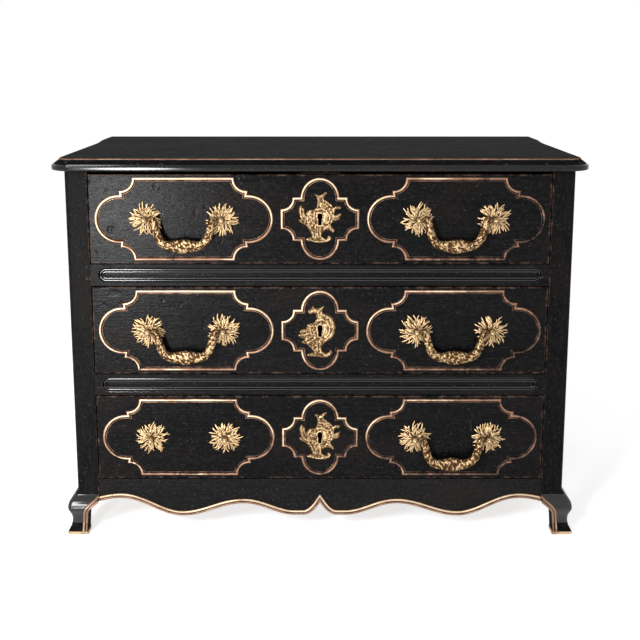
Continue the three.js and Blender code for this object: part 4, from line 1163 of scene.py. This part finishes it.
def post_mesh():
    shell = Shell()
    rings = [[(radius * math.cos(a), -out, radius * math.sin(a)) for a in round_turn(POST_SIDES)]
             for radius, out, _ in POST]
    shell.loft(rings, lambda n: [POST[n][2]] * POST_SIDES)
    piece = in_scene("post", small_mesh("post", shell, 40))
    hole, cutter = bmesh.new(), bpy.data.meshes.new("bore")
    where = Matrix.Translation((0, -PIN_OUT * MM, 0)) @ Matrix.Rotation(QUARTER, 4, "Y")
    bmesh.ops.create_cone(hole, cap_ends=True, segments=16, radius1=BORE_RADIUS * MM,
                          radius2=BORE_RADIUS * MM, depth=BORE_LENGTH * MM, matrix=where)
    hole.to_mesh(cutter)
    hole.free()
    cut_out(piece, in_scene("bore", cutter))
    mesh = piece.data
    bpy.data.objects.remove(piece)
    return mesh


post = post_mesh()
print("post", len(post.polygons), "faces")

# %% Rosettes of a drawer, as one piece
MOUNT_BACK = FACE - 0.3  # the cast mounts stand a hair off the wood
TURN_EACH = 0.4  # how far the rosettes of each next drawer are turned on, in radians
LAYERS = [  # COUNTS and SIZES of each layer; length and thickness count the shape's own 1 mm
    (13, 3, 0.014, 27.0, 3.6, 0.0014, 0.02, 0.15, 0.0),
    (11, 3, 0.009, 23.0, 3.6, 0.0037, 0.04, 0.19, 0.31),
    (8, 3, 0.0042, 17.0, 3.5, 0.0057, 0.05, 0.27, 0.1),
]
SHADE_TO_RIGHT = 0.2  # painted shade: the rosettes at the right carry less gilding

for number, drawer in enumerate(DRAWERS, 1):
    centres = [place(side * LONG_AT + end * ROSETTE_HALF, MOUNT_BACK, drawer["middle"])
               for side in (-1, 1) for end in (-1, 1)]
    parts = []
    for layer, row in enumerate(LAYERS):
        settings = dict(zip(COUNTS + SIZES, row), Seed=10 * number + layer, **SHAPES)
        settings["Turn"] += TURN_EACH * number
        settings["Material"] = gilt_bronze
        parts.append((run_tree(strand_layer, centres, settings), (0, 0, 0)))
    parts += [(post, centre) for centre in centres]
    piece = joined_up(f"drawer_{number}_rosettes", parts, gilt_bronze)
    # Painted shade: less gilding the further right a point lies.
    for item, vertex in zip(piece.data.attributes["wear"].data, piece.data.vertices):
        item.value -= SHADE_TO_RIGHT * max(0.0, vertex.co.x)
    fit(piece, f"drawer_{number}", "gilt_bronze",
        *[f"drawer_{number}_rosette_{k}" for k in (1, 2, 3, 4)])

# %% [markdown]
# ## Bail handles
# A bail is a cast bow that hangs from two pins: scrolled ends, leafy legs, and a fat carved knot
# in the middle of the bar. It is a swept tube whose thickness comes from a table. The leafwork is
# ridged noise laid along the tube as if it were straight, with crinkles and slanting veins on
# top. It moves the skin in and out, and the same height also sets the wear number.

# %% A bail
BAIL_PATH = [  # across, down, half width in the plane, half depth (mm), from the scroll inwards
    (68.4, 2.4, 2.0, 2.4), (71.0, 3.4, 2.8, 3.3), (73.0, 1.2, 3.3, 3.8), (72.6, -2.4, 3.7, 4.2),
    (69.6, -4.8, 4.2, 4.6), (65.8, -4.2, 4.9, 5.0), (62.9, 0.0, 6.0, 5.4), (61.6, 6.0, 7.2, 5.9),
    (60.2, 13.0, 8.2, 6.4), (58.6, 21.0, 8.9, 6.6), (56.4, 29.0, 9.2, 6.7), (53.2, 37.5, 9.3, 6.8),
    (48.2, 46.0, 9.4, 6.9), (41.0, 52.4, 9.7, 7.1), (32.5, 55.4, 10.4, 7.4), (25.0, 56.2, 11.5, 7.8),
    (18.0, 56.5, 13.0, 7.9), (11.0, 56.7, 14.6, 8.1), (4.5, 56.8, 15.7, 8.2), (0.0, 56.8, 15.9, 8.2),
]


def on_curve(quad, t, pull=1.0):
    """The point at t between the middle two of four points, on a smooth curve. A smaller pull
    lets the outer two bend it less."""
    return tuple(
        0.5 * (2 * b + pull * (c - a) * t
               + (2 * pull * a - (3 * pull + 2) * b + (2 * pull + 2) * c - pull * d) * t ** 2
               + pull * (3 * b - a - 3 * c + d) * t ** 3)
        for a, b, c, d in zip(*quad)
    )


def along(table, steps):
    """Points on a smooth curve through the rows of a table, steps for each row."""
    ends = [table[0], *table, table[-1]]
    return [on_curve(ends[i:i + 4], k / steps)
            for i in range(len(table) - 1) for k in range(steps)] + [tuple(table[-1])]


half_bail = along(BAIL_PATH, 8)
print("a bail hangs", max(down for _, down, _, _ in half_bail), "mm below its pins")

# %% The leafwork and the skin of a bail
PIVOT = FACE - PIN_OUT
PIN_RADIUS, PIN_FROM, PIN_TO, PIN_SIDES, PIN_WEAR = 2.55, 70.5, 88.0, 12, 0.3
BAIL_SIDES, DEEPEST, RELIEF = 32, 8.95, 0.9
PLAIN_END, FADE_IN = 12.0, 10.0  # the scrolls are plain, then the leafwork grows
VEIN_PITCH, LEAF_SIZE, CRINKLE_SIZE = 6.5, 0.15, 0.5
RIDGE, CRINKLE, VEIN = 0.85, 0.7, 0.25  # what each adds to the height
WEAR_AND_LEFT_LIGHT = {-1: 0.22, 1: 0.18}  # rubbed gilding, and a little more on the left bails as painted light
FRONT_SHINE, CREST_SHINE = 0.08, 0.6
STRETCH, APART = 0.6, 40  # the noise is longer along a bail, and far off for the next bail
AT_SIDES, AT_FRONT = 0.3, 0.7  # shares of the relief, all of it only where the skin faces front
FINER, OCTAVES = 2, 2  # each octave of the noise is that much finer than the one before


def carving(spot, length, across):
    """Height of the leafwork, from -1 in the cuts to 1 on the crests, at a place on a bail."""
    leaves = fractal([LEAF_SIZE * c for c in spot], 1, FINER, OCTAVES)
    crinkle = fractal(CRINKLE_SIZE * Vector(spot) + Vector((0, 0, 9)), 0.8, FINER, OCTAVES)
    veins = math.sin(2 * math.pi * (length + 11 * across + 6 * leaves) / VEIN_PITCH)
    ridge = 1 - 4.2 * abs(leaves)
    return kept_in(RIDGE * ridge + CRINKLE * crinkle + VEIN * veins, -1.0)


def bail_shell(x, z, seed):
    path = [(px, -down, a, b) for px, down, a, b in half_bail]
    path += [(-px, pz, a, b) for px, pz, a, b in reversed(path[:-1])]
    lengths = [0.0]
    for a, b in zip(path, path[1:]):
        lengths.append(lengths[-1] + math.dist(a[:2], b[:2]))
    rings, wear = [], []
    for i, (px, pz, thick, deep) in enumerate(path):
        before, after = path[max(0, i - 1)], path[min(len(path) - 1, i + 1)]
        way = Vector((after[0] - before[0], after[1] - before[1])).normalized()
        from_end = min(lengths[i], lengths[-1] - lengths[i])
        fade = kept_in((from_end - PLAIN_END) / FADE_IN)
        ring = []
        for turn in round_turn(BAIL_SIDES):
            across, front = math.cos(turn), math.sin(turn)
            spot = (STRETCH * lengths[i] + APART * seed, thick * across, deep * front)
            stand = carving(spot, lengths[i], across)
            relief = RELIEF * fade * stand * (AT_SIDES + AT_FRONT * front * front)
            reach, out = (thick + relief) * across, min((deep + relief) * front, DEEPEST)
            ring.append((x + px - way.y * reach, PIVOT - out, z + pz + way.x * reach))
            shine = FRONT_SHINE * front + CREST_SHINE * fade * stand
            wear.append(kept_in(WEAR_AND_LEFT_LIGHT[math.copysign(1, x)] + shine))
        rings.append(ring)
    shell = Shell()
    shell.loft(rings, lambda n: wear[n * BAIL_SIDES:(n + 1) * BAIL_SIDES])
    for side in (-1, 1):
        pin = [[(x + side * px, PIVOT + PIN_RADIUS * math.cos(a), z + PIN_RADIUS * math.sin(a))
                for a in round_turn(PIN_SIDES)] for px in (PIN_FROM, PIN_TO)]
        shell.loft(pin, [PIN_WEAR] * PIN_SIDES)
    return shell


# %% The five bails that are left of six
for number, side in ((1, -1), (1, 1), (2, -1), (2, 1), (3, 1)):
    name = f"drawer_{number}_{SIDES[side]}_bail"
    shell = bail_shell(side * LONG_AT, DRAWERS[number - 1]["middle"], 7.0 * number + side)
    fit(make(f"{name}_cast", shell, [gilt_bronze], CAST_ANGLE), name, "gilt_bronze", name)

# %% [markdown]
# ## Escutcheons
# Each keyhole has a cast plate of leaves, horns and scrolls. It is low relief, so it is made as a
# carver would: first the outline is filled with small triangles, then every point is raised by
# how far it lies from the edge, by ridges drawn as strokes, by small bumps, and by a boss beside
# the keyhole. What a duster reaches shines: the strokes, the rim of the keyhole, the bumps and
# the boss. A leafy noise breaks it up.

# %% The outlines and the strokes, in thousandths of the plate's height from the keyhole
HORNED = [
    (-106, 497), (-60, 434), (-40, 347), (-57, 254), (-106, 183), (-205, 183), (-251, 145),
    (-274, 87), (-306, 127), (-311, 208), (-343, 222), (-364, 277), (-407, 220), (-407, 104),
    (-372, 6), (-410, -12), (-410, -46), (-343, -75), (-262, -121), (-222, -185), (-172, -277),
    (-153, -353), (-210, -376), (-272, -391), (-239, -425), (-135, -445), (3, -468), (96, -462),
    (171, -437), (214, -387), (194, -338), (156, -345), (148, -384), (96, -393), (38, -358),
    (21, -306), (50, -249), (102, -217), (188, -208), (255, -260), (290, -225), (246, -168),
    (202, -106), (246, -58), (298, -23), (371, -12), (400, 60), (408, 116), (344, 92), (275, 75),
    (281, 156), (321, 202), (394, 210), (402, 254), (310, 252), (267, 220), (223, 277), (154, 335),
    (75, 399), (73, 439), (125, 506), (117, 529), (32, 483), (-8, 468),
]
BEAKED = [
    (-217, 386), (-196, 328), (-138, 339), (-85, 344), (-63, 270), (-79, 185), (-138, 132),
    (-228, 120), (-252, 32), (-317, 21), (-386, -21), (-360, -63), (-407, -90), (-339, -138),
    (-280, -159), (-349, -233), (-254, -254), (-180, -312), (-138, -376), (-116, -429),
    (-233, -460), (-233, -492), (-32, -501), (132, -515), (212, -455), (228, -413), (190, -376),
    (180, -413), (116, -444), (42, -407), (21, -328), (69, -238), (169, -180), (243, -101),
    (280, 5), (270, 164), (222, 249), (138, 307), (74, 323), (32, 370), (53, 423), (76, 479),
    (0, 434), (-63, 420), (-116, 439), (-122, 481), (-148, 429),
]
HORNED_STROKES = [  # half width in mm, then the points of the ridge
    (1.4, (-42, 195), (49, 206), (141, 149), (193, 57), (187, -23), (141, -80)),
    (1.2, (72, 378), (187, 321), (267, 229), (279, 138), (267, 46), (221, -69)),
    (0.9, (-42, 413), (-42, 252), (-88, 183)), (0.9, (61, 401), (72, 298), (110, 240)),
    (1.1, (-180, 161), (-237, 92), (-249, 0), (-214, -115)),
    (1.0, (-375, 252), (-386, 161), (-363, 46), (-295, -46)),
    (0.9, (-329, 206), (-317, 115), (-272, 46)), (0.9, (-398, -34), (-329, -80), (-237, -138)),
    (1.0, (-192, -161), (-146, -252), (-123, -355)), (0.9, (-88, -172), (-77, -275), (-88, -367)),
    (1.2, (3, -161), (3, -252), (15, -344), (95, -413), (175, -424), (210, -367), (175, -350)),
    (1.1, (-260, -400), (-180, -410), (-88, -447), (3, -450), (118, -436)),
    (1.0, (72, -206), (152, -138), (221, -172), (262, -225)), (0.9, (210, 30), (280, 0), (350, 0)),
    (0.9, (250, 50), (330, 50), (390, 90)), (0.9, (250, 190), (310, 235), (385, 235)),
    (0.9, (-90, 480), (-30, 420), (30, 440), (115, 515)),
    (0.8, (-160, 110), (-170, 0), (-130, -100)), (0.8, (-100, 140), (-110, 40)),
    (0.8, (-20, -140), (50, -190)), (0.8, (-40, -200), (-50, -330)),
]
BEAKED_STROKES = [
    (1.4, (-50, 200), (50, 215), (140, 160), (185, 60), (170, -50), (100, -130)),
    (1.2, (60, 310), (160, 270), (235, 180), (250, 30), (200, -100), (100, -190)),
    (1.0, (-200, 360), (-120, 385), (-30, 380), (10, 410), (60, 460)),
    (0.9, (-130, 460), (-90, 410), (-20, 330), (-20, 240)), (0.9, (30, 350), (40, 270)),
    (1.0, (-210, 100), (-130, 80), (-80, 100)), (0.9, (-370, -20), (-270, 0), (-170, 30)),
    (0.9, (-390, -90), (-280, -80), (-160, -40)), (0.9, (-330, -220), (-240, -160), (-140, -100)),
    (0.9, (-240, -240), (-160, -200), (-90, -150)), (1.0, (-140, -300), (-100, -370), (-80, -440)),
    (0.9, (-60, -200), (-50, -400)),
    (1.2, (0, -180), (0, -320), (20, -420), (100, -475), (180, -460), (200, -410)),
    (1.1, (-220, -477), (-100, -480), (50, -490), (140, -490)),
    (0.8, (-170, 80), (-180, 0), (-140, -80)),
]


def in_shares(points):
    return [(x / 1000, z / 1000) for x, z in points]


BAND_AT, BAND_REACH = (0.01, 0.04), (0.232, 0.262)
BUMPS = [  # radius in mm and place: scales along the right band, and dots on the left shell
    (2.0, tuple(c + reach * turn(math.radians(85 - 15 * i))
                for c, reach, turn in zip(BAND_AT, BAND_REACH, (math.cos, math.sin))))
    for i in range(9)
] + [(1.7, spot) for spot in in_shares([
    (-134, 23), (-180, 34), (-111, -80), (-192, 103), (-200, -50), (-150, -120), (-90, -140),
    (10, 320), (10, 260), (-20, 380), (-120, 90),
])]
PLATE_HEIGHTS = [111.0, 118.5, 111.0]
KEYHOLE = [(3.4, -12.9), (3.5, -3.0), (4.2, 1.0), (5.1, 4.5), (5.2, 8.5), (4.1, 11.6), (1.8, 12.9)]


# %% Distances and outlines on the plate
def nearest(point, segments):
    """The distance from a point to the nearest of the segments."""
    best = math.inf
    for a, b in segments:
        hit, share = intersect_point_line(point, a, b)
        spot = a if share < 0 else b if share > 1 else hit
        best = min(best, (spot.xy - point).length)
    return best


def ring_of(points):
    return [(Vector(points[i - 1]), Vector(points[i])) for i in range(len(points))]


def rounded(points):
    """A closed smooth curve through the points, three steps for each."""
    last = len(points)
    return [on_curve([points[(i + k - 1) % last] for k in range(4)], step / 3, 0.8)
            for i in range(last) for step in range(3)]


def swollen(points, by):
    """The outline moved outwards. Its points run to the left round the plate."""
    ways = [heading(points, i) for i in range(len(points))]
    return [(x + way.y * by, z - way.x * by) for (x, z), way in zip(points, ways)]


def inside(point, points):
    x, y = point
    hit = False
    for (x0, y0), (x1, y1) in zip(points[-1:] + points[:-1], points):
        if (y0 > y) != (y1 > y) and x < (x1 - x0) * (y - y0) / (y1 - y0) + x0:
            hit = not hit
    return hit


# %% The relief
PITCH, ROW = 1.15, 0.87  # between the points that fill the plate, and between their rows
REACH, OFF_EDGE, OFF_HOLE = 0.55, 0.55, 0.5  # half the filled square, and the gaps left free
LEAF_GRAIN, EDGE_HEIGHT, EDGE_SHINE, SWELL = 0.42, 0.9, 0.4, 0.9
SLOPE_WIDTH, GROUND_HEIGHT, DOME = 3.4, 1.0, 1.9
BOSS_AT, BOSS_HALF, BOSS_HEIGHT = (0.095, 0.03), (8.2, 13.5), 2.9
RIM_AT, RIM_WIDTH = 1.5, 1.1  # the raised rim round the keyhole
STROKE_HEIGHT, BUMP_HEIGHT, LEAF_HEIGHT, LEAST = 1.6, 1.1, 0.7, 0.6
DULL_WEAR, SHINE_WEAR, LEAF_WEAR, REAR_WEAR = 0.31, 0.48, 0.36, 0.05


def filling(size, edge, hole):
    """Points in a triangular pattern between the plate's outline and its keyhole."""
    walls, brim = ring_of(edge), ring_of(hole)
    points, steps = [], int(size * REACH / PITCH)
    for j in range(-steps, steps + 1):
        for i in range(-steps, steps + 1):
            spot = ((i + 0.5 * (j % 2)) * PITCH, j * PITCH * ROW)
            if inside(spot, hole) or nearest(Vector(spot), brim) < OFF_HOLE:
                continue
            if inside(spot, edge) and nearest(Vector(spot), walls) > OFF_EDGE:
                points.append(spot)
    return points


def relief(spot, size, ridges, at_edge, at_hole, middle):
    """Height above the drawer, and wear, at a point of the plate away from its edge."""
    dome = math.sqrt(max(0, 1 - (1 - min(1, at_edge / SLOPE_WIDTH)) ** 2))
    height, detail = GROUND_HEIGHT + DOME * dome, 0.0
    for width, segments in ridges:
        away = nearest(spot, segments) / width
        detail = max(detail, math.exp(-away * away)) if away < 3 else detail
    off = spot - Vector(BOSS_AT) * size
    swell = 1 - (off.x / BOSS_HALF[0]) ** 2 - (off.y / BOSS_HALF[1]) ** 2
    rim = math.exp(-((at_hole - RIM_AT) / RIM_WIDTH) ** 2)
    bumps = max(math.exp(-((spot - Vector(at) * size).length / wide) ** 2) for wide, at in BUMPS)
    shine = max(detail, rim, bumps)
    if swell > 0:
        height += BOSS_HEIGHT * math.sqrt(swell)
        shine = max(shine * 0.6, 0.3 + 0.5 * swell)
    leaf = fractal((spot.x * LEAF_GRAIN, spot.y * LEAF_GRAIN, middle), 0.9, FINER, OCTAVES)
    carved = STROKE_HEIGHT * max(detail, rim) + BUMP_HEIGHT * bumps - 0.5 + LEAF_HEIGHT * leaf
    height = max(LEAST, height + dome * carved)
    return height, kept_in(DULL_WEAR + SHINE_WEAR * shine + LEAF_WEAR * leaf)


# %% The three plates
INSIDE_ONLY, TOUCHING = 1, 1e-5  # triangles inside the bounds only, and which points are one


def plate_shell(size, outline, strokes, middle):
    edge = swollen([(x * size, z * size) for x, z in rounded(in_shares(outline))], SWELL)
    hole = KEYHOLE + [(-x, z) for x, z in reversed(KEYHOLE)]
    walls, brim = ring_of(edge), ring_of(hole)
    ridges = []
    for width, *points in strokes:
        line = [Vector(point) * size for point in in_shares(points)]
        ridges.append((width, list(zip(line, line[1:]))))
    bounds = [(i, (i + 1) % len(edge)) for i in range(len(edge))]
    bounds += [(len(edge) + i, len(edge) + (i + 1) % len(hole)) for i in range(len(hole))]
    points = edge + hole + filling(size, edge, hole)
    made = delaunay_2d_cdt([Vector(p) for p in points], bounds, [], INSIDE_ONLY, TOUCHING)
    flat, count = made[0], len(made[0])
    front, wear = [], []
    for spot in flat:
        at_edge, at_hole = nearest(spot, walls), nearest(spot, brim)
        height, worn_off = EDGE_HEIGHT, EDGE_SHINE
        if at_edge > SAME_PLACE:
            height, worn_off = relief(spot, size, ridges, at_edge, at_hole, middle)
        front.append((spot.x, MOUNT_BACK - height, spot.y + middle))
        wear.append(worn_off)
    rear = [(spot.x, MOUNT_BACK, spot.y + middle) for spot in flat]
    kept = [tuple(face) for face in made[2]
            if not inside([sum(flat[i][k] for i in face) / 3 for k in (0, 1)], hole)]
    used = {(face[k], face[(k + 1) % 3]): None for face in kept for k in range(3)}
    sides = [(b, a, a + count, b + count) for a, b in used if (b, a) not in used]
    turned = [tuple(i + count for i in reversed(face)) for face in kept]
    shell = Shell()
    shell.add(front + rear, kept + turned + sides, wear + [REAR_WEAR] * count)
    return shell


for number, drawer in enumerate(DRAWERS, 1):
    outline, strokes = (BEAKED, BEAKED_STROKES) if number == 2 else (HORNED, HORNED_STROKES)
    shell = plate_shell(PLATE_HEIGHTS[number - 1], outline, strokes, drawer["middle"])
    piece = make(f"drawer_{number}_escutcheon_cast", shell, [gilt_bronze], 60)
    fit(piece, f"drawer_{number}", "gilt_bronze", f"drawer_{number}_escutcheon")

# %% [markdown]
# ## Pegs
# Wooden pegs lock the joints of rails and stiles. Their ends stand a hair proud and catch the
# light. They repeat, so a small tree sets one turned disc on each place, each at its own angle.


# %% Pegs
def peg_tree():
    tree, get = growing_tree("pegs", Float=["Radius", "Length"], Int=["Seed"])
    peg = node(tree, "GeometryNodeMeshCylinder", Vertices=9, Radius=get["Radius"],
               Depth=get["Length"])
    way = node(tree, "ShaderNodeCombineXYZ", X=QUARTER, Y=draw(get["Seed"], 0, 3.0))
    placed = node(tree, "GeometryNodeInstanceOnPoints", Points=get["Geometry"], Instance=peg,
                  Rotation=way)
    return grown(tree, placed, get["Material"])


PEG_RADIUS, PEG_LENGTH, PEG_SEED = 3.4, 2.4, 4
PEGS = [(-513, 621.5), (-513, 595.6), (526, 644.3), (516, 625.8), (516, 596.5)]
made = run_tree(peg_tree(), [place(x, FACE + 0.4, z) for x, z in PEGS], {
    "Radius": PEG_RADIUS * MM, "Length": PEG_LENGTH * MM, "Seed": PEG_SEED,
    "Material": black_across,
})
fit(joined_up("pegs", [(made, (0, 0, 0))], black_across), "case", "ebonised_wood")

# %% [markdown]
# ## Light and camera
# The photo was taken in a studio against white. A round key lamp from the upper left models the
# forms, a wide weak one fills the right, and a small low one at the left gives the sheen on the
# lower drawers. A floor and a world that are white to the camera stand in for the backdrop. The
# camera looks from the front, a little above the chest, with a lens shifted down so that the
# uprights stay nearly upright.


# %% Floor and world
FLOOR_HALF, FLOOR_GLOW = 30, 0.66
WORLD_LIGHT, WORLD_SEEN = 0.4, 0.6  # together 1, so that the backdrop is pure white


def seen_directly(tree):
    """1 for the camera, and for what mirrors and glass show."""
    rays = tree.nodes.new("ShaderNodeLightPath").outputs
    camera, glossy, glass = [Value(rays[f"Is {word} Ray"])
                             for word in ("Camera", "Glossy", "Transmission")]
    return reckon("MAXIMUM", camera, reckon("MAXIMUM", glossy, glass))


def white_world():
    world = bpy.data.worlds.new("studio")
    bpy.context.scene.world = world
    world.use_nodes = True
    tree = world.node_tree
    tree.nodes.clear()
    background = node(tree, "ShaderNodeBackground", Color=(1, 1, 1),
                      Strength=seen_directly(tree) * WORLD_SEEN + WORLD_LIGHT)
    node(tree, "ShaderNodeOutputWorld", Surface=background)


def white_floor():
    mesh = bpy.data.meshes.new("floor")
    corners = [(x * FLOOR_HALF, y * FLOOR_HALF, 0) for x, y in ((-1, -1), (1, -1), (1, 1), (-1, 1))]
    mesh.from_pydata(corners, [], [(0, 1, 2, 3)])
    material, sockets, _ = finish_of("pale_floor", Roughness=0.9, Specular_IOR_Level=0.0,
                                     Base_Color=(0.9, 0.9, 0.9), Emission_Color=(1, 1, 1))
    feed(sockets["Emission Strength"], seen_directly(material.node_tree) * FLOOR_GLOW)
    mesh.materials.append(material)
    in_scene("floor", mesh)


def soft_light(name, spot, aim, wide, tall, power):
    lamp = bpy.data.lights.new(name, "AREA")
    lamp.shape, lamp.size, lamp.size_y, lamp.energy = "ELLIPSE", wide, tall, power
    light = in_scene(name, lamp)
    light.location = spot
    light.rotation_mode = "QUATERNION"
    light.rotation_quaternion = (Vector(aim) - Vector(spot)).to_track_quat("-Z", "Y")


white_world()
white_floor()
soft_light("key", (-1.7, -2.9, 2.1), (0, 0, 0.5), 1.0, 1.0, 76)
soft_light("fill", (2.8, -2.6, 1.8), (0, 0, 0.4), 2.4, 2.4, 5)
soft_light("low_left", (-0.98, -2.6, 0.42), (-0.3, 0, 0.42), 0.42, 0.7, 42)
bpy.context.scene.view_settings.view_transform = "Standard"
print("lamps", len(bpy.data.lights))

# %% Camera
FOCAL_LENGTH, SENSOR, SHIFT = 52.90, 36.0, -0.165
EYE, LOOKS_DOWN = (0, -2.298, 1.071), 9.33
lens = bpy.data.cameras.new("front_camera")
lens.lens, lens.sensor_width, lens.shift_y = FOCAL_LENGTH, SENSOR, SHIFT
camera = in_scene("front_camera", lens)
camera.location = EYE
camera.rotation_euler = (QUARTER - math.radians(LOOKS_DOWN), 0, 0)
bpy.context.scene.camera = camera
